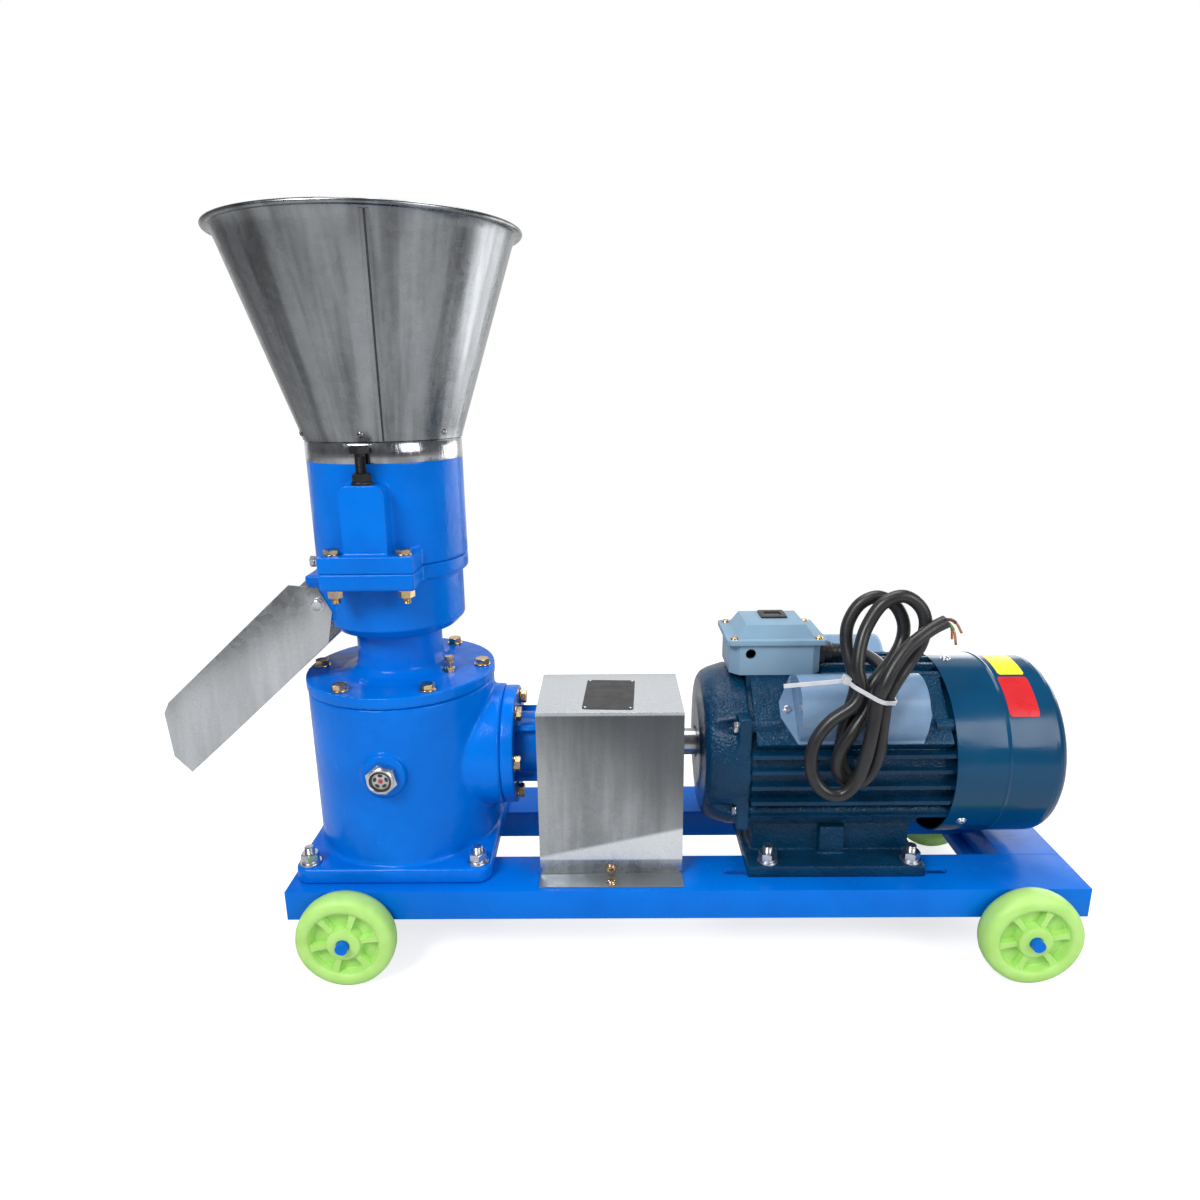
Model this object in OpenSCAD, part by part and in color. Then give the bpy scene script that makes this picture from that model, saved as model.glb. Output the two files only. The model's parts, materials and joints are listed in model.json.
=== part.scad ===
// Flat-die feed pellet mill on a wheeled frame, driven by an electric motor.
// Inside place(): X runs from the frame's left end, Y from its front edge and Z from the rail tops.

/* [Frame] */
// Length of the welded frame
frame_l = 786; // [770:2:860]
// Width across the two rails
frame_w = 210; // [200:2:236]
// Width of one rail
rail_w = 60; // [50:1:66]
// Height of the rails
rail_h = 31; // [28:1:40]
// Wall of the rails
rail_t = 4; // [3:0.5:5]

/* [Wheels] */
// Diameter of a wheel
wheel_d = 97; // [90:1:120]
// Width of a wheel
wheel_w = 24; // [20:1:32]
// Diameter of the axle bar under the rails
axle_d = 20; // [16:1:24]
// Diameter of the turned axle ends
axle_end_d = 12; // [10:0.5:14]
// Distance of each axle from its end of the frame
axle_inset = 62; // [56:1:72]

/* [Gearbox] */
// Distance of the mill axis from the left end
mill_x = 103; // [100:1:112]
// How far the mill axis lies behind the frame's middle
mill_back = 7; // [0:1:10]
// Height of the horizontal shafts above the rails
shaft_z = 106; // [102:1:112]
// Outer radius of the gearbox drum
drum_r = 95; // [92:1:98]
// Wall of the gearbox drum
drum_wall = 8; // [6:1:9]
// Height of the drum above its base plate
drum_h = 167; // [162:1:176]
// Thickness of the base plate
base_t = 16.6; // [14:0.2:18]

/* [Mill] */
// Outer radius of the die chamber
chamber_r = 68.2; // [67:0.2:70]
// Radius of the flat die
die_r = 62; // [60:0.5:62.5]
// Thickness of the flat die
die_t = 21.5; // [18:0.5:24]
// Radius of one press roller
roller_r = 30; // [27:1:33]
// Width of one press roller
roller_w = 26; // [22:1:30]
// Height of the upper housing
upper_h = 95.5; // [92:0.5:105]
// Travel of the roller shaft
roller_travel = 2; // [1:0.5:3]

/* [Hopper] */
// Outer radius of the hopper's rim
rim_r = 138; // [120:1:150]
// Height of the hopper's cone
cone_h = 182.5; // [150:0.5:200]
// Height of the collar under the cone
collar_h = 19; // [18:1:24]
// Thickness of the hopper sheet
sheet_t = 1; // [0.8:0.1:1.2]

/* [Chute] */
// Width of the discharge chute
chute_w = 95; // [92:1:97]
// Length of the chute's floor
chute_l = 207; // [190:1:215]
// Height of the chute's side walls
chute_h = 65.8; // [60:0.2:66]
// Slope of the chute
chute_slope = 41.9; // [40:0.1:43]
// Thickness of the chute sheet
chute_t = 1.2; // [1:0.1:1.5]

/* [Motor] */
// Length of the finned motor body
body_l = 233; // [225:1:245]
// Outer radius of the smooth motor shell
shell_r = 81; // [80:0.5:83]
// Radius of the fan cowl
cowl_r = 93; // [92.5:0.5:96]
// Length of the fan cowl
cowl_l = 110; // [108:0.5:130]
// Length of the motor foot
foot_l = 176; // [170:1:182]
// Distance between the foot bolts across the motor
foot_bolt_y = 160; // [156:1:164]
// Distance between the foot bolts along the motor
foot_bolt_x = 143; // [140:1:146]

/* [Cable] */
// Diameter of the power cord
cord_d = 12; // [10:0.5:12]

/* [Hidden] */
$fn = 64;
eps = 0.01;
fit_gap = 0.3;        // between pieces of different bodies
run_gap = 0.05;       // radial running fit of a journal
hole_gap = 0.3;       // radial gap round a bolt shank
axle_end_r = axle_end_d / 2;
wheel_r = wheel_d / 2;
rail_top = wheel_r + axle_d / 2 + rail_h;
rear_rail_y = frame_w - rail_w;
mill_y = frame_w / 2 + mill_back;

// Wheels and axles
wheel_gap = 2;
wheel_out = wheel_gap + wheel_w / 2;
axle_stub = 6;
axle_z = -rail_h - axle_d / 2;
axle_xs = [axle_inset, frame_l - axle_inset];

// Gearbox, upwards from the rails
plate_t = 11.7;
plate_r = drum_r + 1;
base_x0 = mill_x - 97.5;
base_l = 195;
base_w = 200;
base_bolt_x = 168;
base_bolt_y = 172;
drum_top = base_t + drum_h;
plate_top = drum_top + plate_t;
cover_bolt_r = 84;
sight_z = shaft_z + 11;
sight_r = 9;
sight_boss_r = 22;
sight_y = mill_y - drum_r - 5;

// Lower and upper housing
neck_r = 43;
chamber_z = plate_top + 47.6;
chamber_floor = chamber_z + 8;
ring_r = 74;
ring_z = chamber_z + 57.6;
split_z = ring_z + 14.5;
upper_top = split_z + upper_h;
housing_in = 64;
chamber_in = die_r + fit_gap;
spigot_h = 14;
lug_w = 86;
lug_t = 16;
upper_lug_t = 15.7;
lug_out = 98;          // from the mill axis to the lug's outer face
clamp_dx = 32.5;
clamp_dy = 85.5;
boss_w = 40;
boss_out = 93;
boss_top = upper_top - 17;
boss_round = 8;

// Rollers and die
die_top = split_z - 0.5;
die_z = die_top - die_t;
die_bore_r = 9;
roller_z = die_top + 0.5 + roller_r;
roller_dy = 27;
roller_shaft_r = 12;
roller_shaft_half = 89;
adjust_y = 84;
adjust_r = 5;
adjust_head_h = 6.4;
adjust_head_z = upper_top + collar_h - adjust_head_h - roller_travel - fit_gap;
adjust_nut_h = 7.5;

// Discharge hood and chute
hood_x = mill_x - 74.6;
hood_half = 46;
hood_roof_z = ring_z - 6.1;
hood_roof_t = 8.5;
pivot_x = mill_x - 64.4;
pivot_z = hood_roof_z - 20.7;
pivot_up = chute_h / 2;          // pivot above the chute's floor
pivot_s = chute_l + 20.6;        // pivot from the chute's free end
chute_outline = [
  [0, 0], [chute_l, 0], [chute_l + 25.6, 19], [chute_l + 33, 45],
  [chute_l + 14, chute_h], [41, chute_h], [29, chute_h - 4.5], [0, 24]
];
chute_screw_r = 4;

// Hopper
collar_r = ring_r + 0.1;
collar_top = upper_top + collar_h;
rim_z = collar_top + cone_h;
bead_r = 2.4;

// Gears: the apex of both pitch cones is where the two axes cross
crown_teeth = 32;
pinion_teeth = 10;
crown_pitch_r = 62;
pinion_cone = atan(pinion_teeth / crown_teeth);
crown_cone = 90 - pinion_cone;
cone_out = crown_pitch_r / sin(crown_cone);
cone_in = cone_out - 16;
tooth_up = 2.6;
tooth_down = 3.6;
tooth_half = 2.1;
tooth_slope = 0.34;

// Main shaft and its bearings
journal_r = 17.5;
lower_bearing_z = 12;
upper_bearing_z = drum_top + 3;
bearing_r = 33;
bearing_w = 18;

// Input housing, coupling and motor, left to right
pad_x = mill_x + drum_r + 11;
input_flange_t = 13.5;
input_flange_r = 62;
input_bolt_r = 50;
input_bolt_angles = [30:60:330];
flange_x1 = pad_x + input_flange_t;
nose_x1 = flange_x1 + 29;
nose_r = 33.5;
spigot_l = 26;
spigot_r = 40;
input_bearing_r = 31;
input_bearing_w = 16;
input_journal_r = 15;
hub_r = 38;
hub_l = 38;
hub_gap = 16;
hub_x0 = nose_x1 + 5;
hub_x1 = hub_x0 + hub_l;
motor_hub_x0 = hub_x1 + hub_gap;
motor_hub_x1 = motor_hub_x0 + hub_l;
motor_boss_x1 = motor_hub_x1 + 50;
jaw_angle = 42;
leg_angle = 14;

motor_face = motor_boss_x1 + 13;
shield_l = 46;
shield_r = 85;
body_x0 = motor_face + shield_l;
body_x1 = body_x0 + body_l;
shell_in = shell_r - 5;
fin_reach = 88;
fin_t = 4;
fin_pitch = 16.4;
rear_shield_l = 20;
cowl_x0 = body_x1 - 38;
cowl_x1 = cowl_x0 + cowl_l;
cowl_t = 1.5;
cowl_round = 16;
cowl_screw_x = cowl_x0 + 16;
cowl_in = cowl_r - cowl_t - 0.5;
cowl_lug_angles = [92, 214, 326];
foot_t = 11.9;
foot_x0 = body_x0 - 1;
foot_w = foot_bolt_y + 22;
shaft_r = 14;
stator_in = 49;
rotor_r = stator_in - 0.6;

// Terminal box on top of the motor
box_l = 91;
box_w = 68;
box_z = shaft_z + 87.5;
box_h = 32;
box_x0 = body_x0 - 16;
box_t = 3;
lid_over = 4;
rim_t = 5;
lid_rise = 13;
gland_y = mill_y - 14;
gland_z = box_z + 18;
entry_r = 5.2;

// Capacitor covers at 45 degrees on both shoulders of the motor
cap_r = 33;
cap_l = 119;
cap_tab = 14;
cap_seat = 86;
cap_x0 = body_x0 + 43;
cap_wall = 1.6;

// Guard over the coupling
guard_x0 = nose_x1 - 2.5;
guard_x1 = motor_face - 20;
guard_y0 = 26.6;
guard_y1 = guard_y0 + 107;
guard_z1 = shaft_z + 69.4;
guard_t = 1.2;
guard_foot = 21.5;
guard_mid = (guard_x0 + guard_x1) / 2;

// Where the model's origin lies: the middle of its box, on the floor
chute_min = pivot_x + chute_side(29, chute_h - 4.5)[0];
mid_x = (chute_min + max(cowl_x1, frame_l)) / 2;
axle_out = wheel_gap + wheel_w + axle_stub;
mid_y = (min(-axle_out, mill_y - rim_r - bead_r) + max(frame_w + axle_out, mill_y + rim_r + bead_r)) / 2;

machine_blue = [0.0, 0.38, 0.85];
motor_navy = [0.05, 0.22, 0.36];
galvanised = [0.72, 0.74, 0.76];
zinc = [0.78, 0.79, 0.8];
yellow_zinc = [0.72, 0.55, 0.3];
steel = [0.6, 0.61, 0.63];
wheel_green = [0.75, 0.95, 0.55];
box_grey = [0.5, 0.62, 0.72];
dark = [0.1, 0.1, 0.11];

// A point of the chute's side outline, s along the floor and t above it, seen from the pivot
function chute_side(s, t) = [
  (s - pivot_s) * cos(chute_slope) - (t - pivot_up) * sin(chute_slope),
  (s - pivot_s) * sin(chute_slope) + (t - pivot_up) * cos(chute_slope)
];

module place() {
  translate([-mid_x, -mid_y, rail_top]) children();
}

module rod_x(x0, x1, r, y = mill_y, z = shaft_z) {
  translate([x0, y, z]) rotate([0, 90, 0]) cylinder(h = x1 - x0, r = r);
}

module rod_y(y0, y1, r, x = 0, z = 0) {
  translate([x, y1, z]) rotate([90, 0, 0]) cylinder(h = y1 - y0, r = r);
}

module rod_z(z0, z1, r, x = mill_x, y = mill_y) {
  translate([x, y, z0]) cylinder(h = z1 - z0, r = r);
}

module ring_x(x0, x1, r_out, r_in) {
  difference() {
    rod_x(x0, x1, r_out);
    rod_x(x0 - 1, x1 + 1, r_in);
  }
}

// A hexagon prism along Z; af is its width across flats
module hex(af, h) {
  cylinder(h = h, r = af / sqrt(3), $fn = 6);
}

// A bolt along Z with its seat at z = 0, the head above and the shank below
module bolt(r, shank, af, head_h) {
  hex(af, head_h);
  translate([0, 0, -shank]) cylinder(h = shank + eps, r = r);
}

// A nut with a washer under it, seated at z = 0
module nut(r, af, nut_h, washer_r, washer_t) {
  difference() {
    union() {
      cylinder(h = washer_t, r = washer_r);
      translate([0, 0, washer_t]) hex(af, nut_h);
    }
    translate([0, 0, -1]) cylinder(h = nut_h + washer_t + 2, r = r);
  }
}

// Revolves a profile of [radius, x] points about the motor's axis
module turned_x(points) {
  translate([0, mill_y, shaft_z]) rotate([0, 90, 0]) rotate_extrude() polygon(points);
}

// Revolves a profile of [radius, z] points about the mill's axis
module turned_z(points) {
  translate([mill_x, mill_y, 0]) rotate_extrude() polygon(points);
}

// ---- Frame and wheels ----

module rail(y) {
  translate([0, y, -rail_h]) difference() {
    cube([frame_l, rail_w, rail_h]);
    translate([-1, rail_t, -1]) cube([frame_l + 2, rail_w - 2 * rail_t, rail_h - rail_t + 1]);
  }
}

module cross_member(x) {
  translate([x, rail_w - eps, -rail_h]) difference() {
    cube([rail_w, rear_rail_y - rail_w + 2 * eps, rail_h]);
    translate([rail_t, -1, -1]) cube([rail_w - 2 * rail_t, frame_w, rail_h - rail_t + 1]);
  }
}

module slot_z(x0, x1, y, r) {
  translate([0, y, -rail_t - 2]) linear_extrude(rail_t + 4) {
    translate([x0 + r, -r]) square([x1 - x0 - 2 * r, 2 * r]);
    translate([x0 + r, 0]) circle(r);
    translate([x1 - r, 0]) circle(r);
  }
}

foot_bolt_x0 = foot_x0 + 21.2;
foot_bolt_xs = [foot_bolt_x0, foot_bolt_x0 + foot_bolt_x];
foot_bolt_ys = [mill_y - foot_bolt_y / 2, mill_y + foot_bolt_y / 2];
base_bolt_xs = [mill_x - base_bolt_x / 2, mill_x + base_bolt_x / 2];
base_bolt_ys = [mill_y - base_bolt_y / 2, mill_y + base_bolt_y / 2];
bolt_r = 5;
slot_r = 5.5;

module chassis_frame() {
  color(machine_blue) place() {
    difference() {
      union() {
        rail(0);
        rail(rear_rail_y);
        cross_member(0);
        cross_member(frame_l - rail_w);
      }
      for (y = foot_bolt_ys) {
        slot_z(foot_bolt_xs[0] - 45, foot_bolt_xs[0] + 16, y, slot_r);
        slot_z(foot_bolt_xs[1] - 16, foot_bolt_xs[1] + 38, y, slot_r);
      }
      for (x = base_bolt_xs, y = base_bolt_ys)
        rod_z(-rail_t - 1, 1, bolt_r + hole_gap, x, y);
      // Room for a foot bolt's head where it comes near a rail's side wall
      for (x = foot_bolt_xs, y = foot_bolt_ys)
        rod_z(-rail_t - 9, -rail_t, bolt_room_r, x, y);
      rod_z(-rail_t - 1, 1, guard_screw_r + hole_gap, guard_mid, guard_screw_y);
    }
    guard_tab();
  }
}

bolt_room_r = 11;

guard_screw_r = 2.5;
guard_screw_y = guard_y0 - 14;
guard_screw_z = 8;

// A small angle welded to the front rail that the guard's wall is screwed to
module guard_tab() {
  tab_y = guard_y0 + guard_t;
  difference() {
    union() {
      translate([guard_mid - 15, tab_y, -eps]) cube([30, 3, 20]);
      translate([guard_mid - 15, tab_y, -eps]) cube([30, 20, 3]);
    }
    rod_y(tab_y - 1, tab_y + 4, guard_screw_r + hole_gap, guard_mid, guard_screw_z);
  }
}

module axles() {
  color(machine_blue) place()
    for (x = axle_xs) {
      rod_y(0, frame_w, axle_d / 2, x, axle_z);
      rod_y(-axle_out, frame_w + axle_out, axle_end_r, x, axle_z);
    }
}

hub_half = wheel_w / 2 + 0.5;
wheel_hub_r = 17;
wheel_recess_r = wheel_r * 0.7;
web_t = 5;
spoke_t = 7;

module wheel(x, y) {
  half = wheel_w / 2;
  color(wheel_green) place() translate([x, y, axle_z]) rotate([90, 0, 0]) difference() {
    union() {
      rotate_extrude() polygon([
        [wheel_recess_r, -half + 1], [wheel_r - 9, -half], [wheel_r - 3, -half + 3], [wheel_r - 0.7, -half + 7],
        [wheel_r, 0], [wheel_r - 0.7, half - 7], [wheel_r - 3, half - 3], [wheel_r - 9, half],
        [wheel_recess_r, half - 1]
      ]);
      cylinder(h = web_t, r = wheel_recess_r + 1, center = true);
      cylinder(h = 2 * hub_half, r = wheel_hub_r, center = true);
      for (a = [0:60:300])
        rotate(a + 10) translate([wheel_hub_r - 2, -spoke_t / 2, -half + 3])
          cube([wheel_recess_r - wheel_hub_r + 3, spoke_t, wheel_w - 6]);
    }
    cylinder(h = wheel_w + 4, r = axle_end_r + 0.1, center = true);
  }
}

// ---- Gearbox ----

module base_plate() {
  corner = 14;
  translate([base_x0, mill_y - base_w / 2, 0]) linear_extrude(base_t) {
    translate([corner, 0]) square([base_l - 2 * corner, base_w]);
    translate([0, corner]) square([base_l, base_w - 2 * corner]);
    for (x = [corner, base_l - corner], y = [corner, base_w - corner])
      translate([x, y]) circle(corner);
  }
}

module gearbox_housing() {
  seat_r = bearing_r + 9;
  color(machine_blue) place() difference() {
    union() {
      base_plate();
      difference() {
        union() {
          rod_z(base_t - eps, drum_top, drum_r);
          rod_x(mill_x + drum_r - 25, pad_x, input_flange_r + 2);
          rod_y(sight_y, mill_y - drum_r + 20, sight_boss_r, mill_x, sight_z);
          translate([mill_x + drum_r - 20, mill_y - 8, base_t - 1]) cube([20, 16, 40]);
        }
        rod_z(base_t, drum_top + 1, drum_r - drum_wall);
      }
      rod_z(base_t - eps, lower_bearing_z + bearing_w + 4, seat_r);
    }
    rod_z(lower_bearing_z, lower_bearing_z + bearing_w + 5, bearing_r);
    rod_x(mill_x + drum_r - 30, pad_x + 1, spigot_r);
    rod_y(sight_y - 1, mill_y - drum_r + 22, sight_r + 0.1, mill_x, sight_z);
    for (x = base_bolt_xs, y = base_bolt_ys)
      rod_z(-1, base_t + 1, bolt_r + hole_gap, x, y);
    for (a = input_bolt_angles)
      input_bolt_at(a) translate([0, 0, -20]) cylinder(h = 21, r = 4);
    for (a = [0:60:300])
      cover_bolt_at(a) translate([0, 0, -plate_t - 20]) cylinder(h = 21, r = 4);
  }
}

// Places a bolt of the cover ring, its seat on the plate
module cover_bolt_at(a) {
  translate([mill_x + cover_bolt_r * cos(a), mill_y + cover_bolt_r * sin(a), plate_top]) children();
}

// Places a bolt of the input flange, pointing along X with its seat on the flange
module input_bolt_at(a) {
  translate([pad_x, mill_y - input_bolt_r * sin(a), shaft_z + input_bolt_r * cos(a)])
    rotate([0, 90, 0]) children();
}

module gearbox_cover_bolts() {
  color(yellow_zinc) place()
    for (a = [0:60:300])
      cover_bolt_at(a) {
        cylinder(h = 1.6, r = 8.5);
        translate([0, 0, 1.6]) hex(13, 5.3);
        translate([0, 0, -plate_t - 16]) cylinder(h = plate_t + 17, r = 4);
      }
}

module mounting_bolt(z_seat) {
  bottom = -rail_t;
  difference() {
    translate([0, 0, bottom - 6.4]) hex(16, 6.4);
  }
  translate([0, 0, bottom - eps]) cylinder(h = z_seat - bottom + 18, r = bolt_r);
  translate([0, 0, z_seat]) nut(bolt_r - 0.2, 16, 8, 10.5, 2);
}

module mounting_bolts() {
  color(zinc) place() {
    for (x = base_bolt_xs, y = base_bolt_ys)
      translate([x, y, 0]) mounting_bolt(base_t);
    for (x = foot_bolt_xs, y = foot_bolt_ys)
      translate([x, y, 0]) mounting_bolt(foot_t);
  }
}

breather_x = mill_x + 53.5;
breather_y = mill_y - 20;

module breather_plug() {
  color(yellow_zinc) place() translate([breather_x, breather_y, plate_top]) {
    hex(11, 4);
    cylinder(h = 15, r = 3.6);
    translate([0, 0, 12]) cylinder(h = 4, r = 4.6);
    translate([0, 0, -plate_t]) cylinder(h = plate_t + 1, r = 4);
  }
}

module sight_glass_nut() {
  color(zinc) place() translate([mill_x, sight_y, sight_z]) rotate([90, 0, 0]) difference() {
    union() {
      hex(27, 7);
      cylinder(h = 10, r = 12.6);
      translate([0, 0, -14]) cylinder(h = 15, r = sight_r);
    }
    translate([0, 0, 4]) cylinder(h = 7, r = 10.5);
    translate([0, 0, -15]) cylinder(h = 20, r = 7);
  }
}

module sight_glass_lens() {
  color([0.2, 0.2, 0.22, 0.6]) place() translate([mill_x, sight_y, sight_z]) rotate([90, 0, 0])
    translate([0, 0, 4]) cylinder(h = 4, r = 10.5);
}

// ---- Mill housings ----

// A lug on the front and on the rear of the mill, between two heights
module lugs(z0, z1) {
  for (m = [0, 1])
    translate([mill_x, mill_y, 0]) mirror([0, m, 0])
      translate([-lug_w / 2, -lug_out, z0]) cube([lug_w, lug_out - 40, z1 - z0]);
}

module clamp_holes(z0, z1) {
  for (dx = [-clamp_dx, clamp_dx], dy = [-clamp_dy, clamp_dy])
    rod_z(z0, z1, 4 + hole_gap, mill_x + dx, mill_y + dy);
}

module discharge_hood() {
  roof_half = chute_w / 2 + 0.5;
  depth = mill_x - hood_x;
  translate([hood_x, mill_y - roof_half, hood_roof_z]) cube([depth - 20, 2 * roof_half, hood_roof_t]);
  for (m = [0, 1])
    translate([0, mill_y, 0]) mirror([0, m, 0])
      translate([hood_x + 1, -hood_half, pivot_z - 16]) cube([depth - 30, 6, hood_roof_z - pivot_z + 17]);
}

module lower_housing() {
  window_z = chamber_floor;
  color(machine_blue) place() difference() {
    union() {
      turned_z([
        [0, drum_top], [plate_r, drum_top], [plate_r, plate_top], [neck_r + 18, plate_top],
        [neck_r + 8, plate_top + 2.5], [neck_r + 2, plate_top + 8], [neck_r, plate_top + 17],
        [neck_r, chamber_z - 4], [neck_r + 3, chamber_z], [chamber_r - 9, chamber_z],
        [chamber_r, chamber_z + 9], [chamber_r, ring_z], [ring_r, ring_z], [ring_r, split_z], [0, split_z]
      ]);
      lugs(split_z - lug_t, split_z);
      discharge_hood();
    }
    rod_z(chamber_floor, split_z + 1, chamber_in);
    rod_z(drum_top - 1, upper_bearing_z + bearing_w, bearing_r);
    rod_z(drum_top - 1, chamber_floor + 1, seal_r);
    translate([hood_x - 1, mill_y - hood_half + 6, window_z])
      cube([mill_x - hood_x, 2 * hood_half - 12, hood_roof_z - window_z]);
    clamp_holes(split_z - lug_t - 1, split_z + 1);
    rod_x(mill_x - ring_r - 1, mill_x - chamber_in + 1, 3, mill_y, screw_z);
    for (a = [0:60:300])
      cover_bolt_at(a) translate([0, 0, -plate_t - 1]) cylinder(h = plate_t + 2, r = 4 + hole_gap);
    translate([breather_x, breather_y, drum_top - 1]) cylinder(h = plate_t + 2, r = 4.1);
    translate([breather_x, breather_y, plate_top]) cylinder(h = 20, r = 8);
    rod_y(mill_y - hood_half - 1, mill_y + hood_half + 1, chute_screw_r - 0.6, pivot_x, pivot_z);
  }
}

seal_r = 26;

// The bosses that hold the roller shaft's ends and the adjusting bolts
module boss() {
  w = boss_w / 2;
  r = boss_round;
  depth = boss_out - housing_in - 2;
  translate([mill_x, mill_y - boss_out + depth, 0]) rotate([90, 0, 0]) linear_extrude(depth)
    polygon(concat(
      [[-w, split_z], [w, split_z]],
      [for (a = [0:15:90]) [w - r + r * cos(a), boss_top - r + r * sin(a)]],
      [for (a = [90:15:180]) [r - w + r * cos(a), boss_top - r + r * sin(a)]]
    ));
}

module upper_housing() {
  slot_h = 2 * roller_shaft_r + roller_travel + 2 * fit_gap;
  slot_w = 2 * (roller_shaft_r + fit_gap);
  color(machine_blue) place() difference() {
    union() {
      difference() {
        rod_z(split_z, upper_top, ring_r);
        rod_z(split_z - 1, upper_top + 1, housing_in);
      }
      difference() {
        rod_z(upper_top - eps, upper_top + spigot_h, ring_r - sheet_t - 0.1);
        rod_z(upper_top - 1, upper_top + spigot_h + 1, ring_r - 6);
      }
      difference() {
        union() {
          lugs(split_z, split_z + upper_lug_t);
          boss();
          translate([0, 2 * mill_y, 0]) mirror([0, 1, 0]) boss();
        }
        rod_z(split_z - 1, boss_top + 1, ring_r - 3);
      }
    }
    clamp_holes(split_z - 1, split_z + upper_lug_t + 1);
    translate([mill_x - slot_w / 2, mill_y - roller_shaft_half - fit_gap, roller_z - roller_shaft_r - fit_gap])
      cube([slot_w, 2 * (roller_shaft_half + fit_gap), slot_h]);
    for (dy = [-adjust_y, adjust_y])
      rod_z(roller_z, boss_top + 1, adjust_r + 0.1, mill_x, mill_y + dy);
  }
}

module clamp_bolts() {
  color(yellow_zinc) place()
    for (dx = [-clamp_dx, clamp_dx], dy = [-clamp_dy, clamp_dy])
      translate([mill_x + dx, mill_y + dy, 0]) {
        translate([0, 0, split_z + upper_lug_t]) bolt(4, upper_lug_t + lug_t + 14, 13, 5.3);
        translate([0, 0, split_z - lug_t]) mirror([0, 0, 1]) nut(3.9, 13, 6.5, 8, 1.4);
      }
}

screw_z = split_z - 8;

// A screw through the ring wall that holds the pellet cutter's bracket
module cutter_screw() {
  wall_x = mill_x - ring_r;
  color(zinc) place() {
    rod_x(wall_x - 8, wall_x + 8, 3, mill_y, screw_z);
    translate([wall_x - 10.5, mill_y, screw_z]) rotate([0, 90, 0]) hex(10, 4);
    translate([wall_x - 1, mill_y, screw_z]) rotate([0, -90, 0]) hex(10, 4);
  }
}

// ---- Hopper and chute ----

module hopper() {
  base_in = collar_r - sheet_t;
  color(galvanised) place() {
    turned_z([
      [base_in, upper_top], [collar_r, upper_top], [collar_r, collar_top], [rim_r, rim_z], [rim_r - sheet_t, rim_z],
      [base_in, collar_top]
    ]);
    translate([mill_x, mill_y, rim_z]) rotate_extrude() translate([rim_r, 0]) circle(bead_r, $fn = 24);
    translate([mill_x, mill_y, 0]) rotate(-75.5) hopper_seam();
  }
}

// The folded seam where the two edges of the cone's sheet are joined
module hopper_seam() {
  lean = atan((rim_r - collar_r) / cone_h);
  length = cone_h / cos(lean);
  translate([collar_r - 0.4, -4, collar_top]) rotate([0, lean, 0]) cube([1.4, 8, length - 3]);
}

module chute_place() {
  translate([pivot_x, 0, pivot_z]) rotate([0, -chute_slope, 0]) translate([-pivot_s, 0, -pivot_up]) children();
}

module discharge_chute() {
  side_y = mill_y - chute_w / 2;
  color(galvanised) place() difference() {
    chute_place() {
      for (y = [side_y, side_y + chute_w - chute_t])
        translate([0, y + chute_t, 0]) rotate([90, 0, 0]) linear_extrude(chute_t) polygon(chute_outline);
      translate([0, side_y, 0]) cube([chute_l, chute_w, chute_t]);
    }
    rod_y(side_y - 1, side_y + chute_w + 1, chute_screw_r + 0.1, pivot_x, pivot_z);
  }
}

module chute_screws() {
  side = chute_w / 2;
  color(zinc) place()
    for (m = [0, 1])
      translate([0, mill_y, 0]) mirror([0, m, 0]) {
        rod_y(-side - 0.5, -hood_half, chute_screw_r, pivot_x, pivot_z);
        rod_y(-hood_half - eps, -hood_half + 7, chute_screw_r - 0.7, pivot_x, pivot_z);
        rod_y(-side - 4, -side - 0.4, 7.2, pivot_x, pivot_z);
      }
}

// ---- Rotating parts of the mill ----

module main_shaft() {
  r = journal_r - run_gap;
  color(steel) place() turned_z([
    [0, lower_bearing_z + 1], [r, lower_bearing_z + 1], [r, 36], [21, 36], [21, crown_hub_z0 - 5],
    [20, crown_hub_z0 - 5], [20, crown_hub_z1], [r, crown_hub_z1 + 4], [r, chamber_floor + 3],
    [16, chamber_floor + 3], [16, die_z - 7], [22, die_z - 7], [22, die_z],
    [die_bore_r, die_z], [die_bore_r, die_top + 9], [0, die_top + 9]
  ]);
}

crown_root = tooth_down * sin(crown_cone);
crown_hub_z0 = shaft_z - 40;
crown_hub_z1 = shaft_z - cone_in * cos(crown_cone) - crown_root - 1;

// One straight bevel tooth on a cone about +Z; its flanks and its top all meet at the origin
module bevel_tooth(cone) {
  slope = atan(tooth_slope);
  half = atan(tooth_half / cone_out);
  top = atan(tooth_up / cone_out);
  length = cone_out - cone_in - 0.6;
  rotate([0, cone - 90, 0]) mirror([0, 0, 1]) intersection() {
    rotate([slope, 0, half]) translate([0, -30, -20]) cube([cone_out + 20, 30, 40]);
    rotate([-slope, 0, -half]) translate([0, 0, -20]) cube([cone_out + 20, 30, 40]);
    rotate([0, -top, 0]) translate([cone_in + 0.3, -15, -8]) cube([length, 30, 8]);
  }
}

// The root cone of a bevel gear between its inner and outer faces, as [radius, distance] points
function root_point(cone, along) = [
  along * sin(cone) - tooth_down * along / cone_out * cos(cone),
  along * cos(cone) + tooth_down * along / cone_out * sin(cone)
];

module crown_gear() {
  inner = root_point(crown_cone, cone_in);
  outer = root_point(crown_cone, cone_out);
  back = shaft_z - crown_hub_z0;
  color(steel) place() translate([mill_x, mill_y, shaft_z]) mirror([0, 0, 1]) difference() {
    union() {
      rotate_extrude() polygon([
        [0, inner[1]], inner, outer, [outer[0], outer[1] + 8], [32, outer[1] + 10], [32, back], [0, back]
      ]);
      for (i = [0:crown_teeth - 1])
        rotate((i + 0.5) * 360 / crown_teeth) bevel_tooth(crown_cone);
    }
    translate([0, 0, -5]) cylinder(h = 60, r = 20);
  }
}

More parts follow.
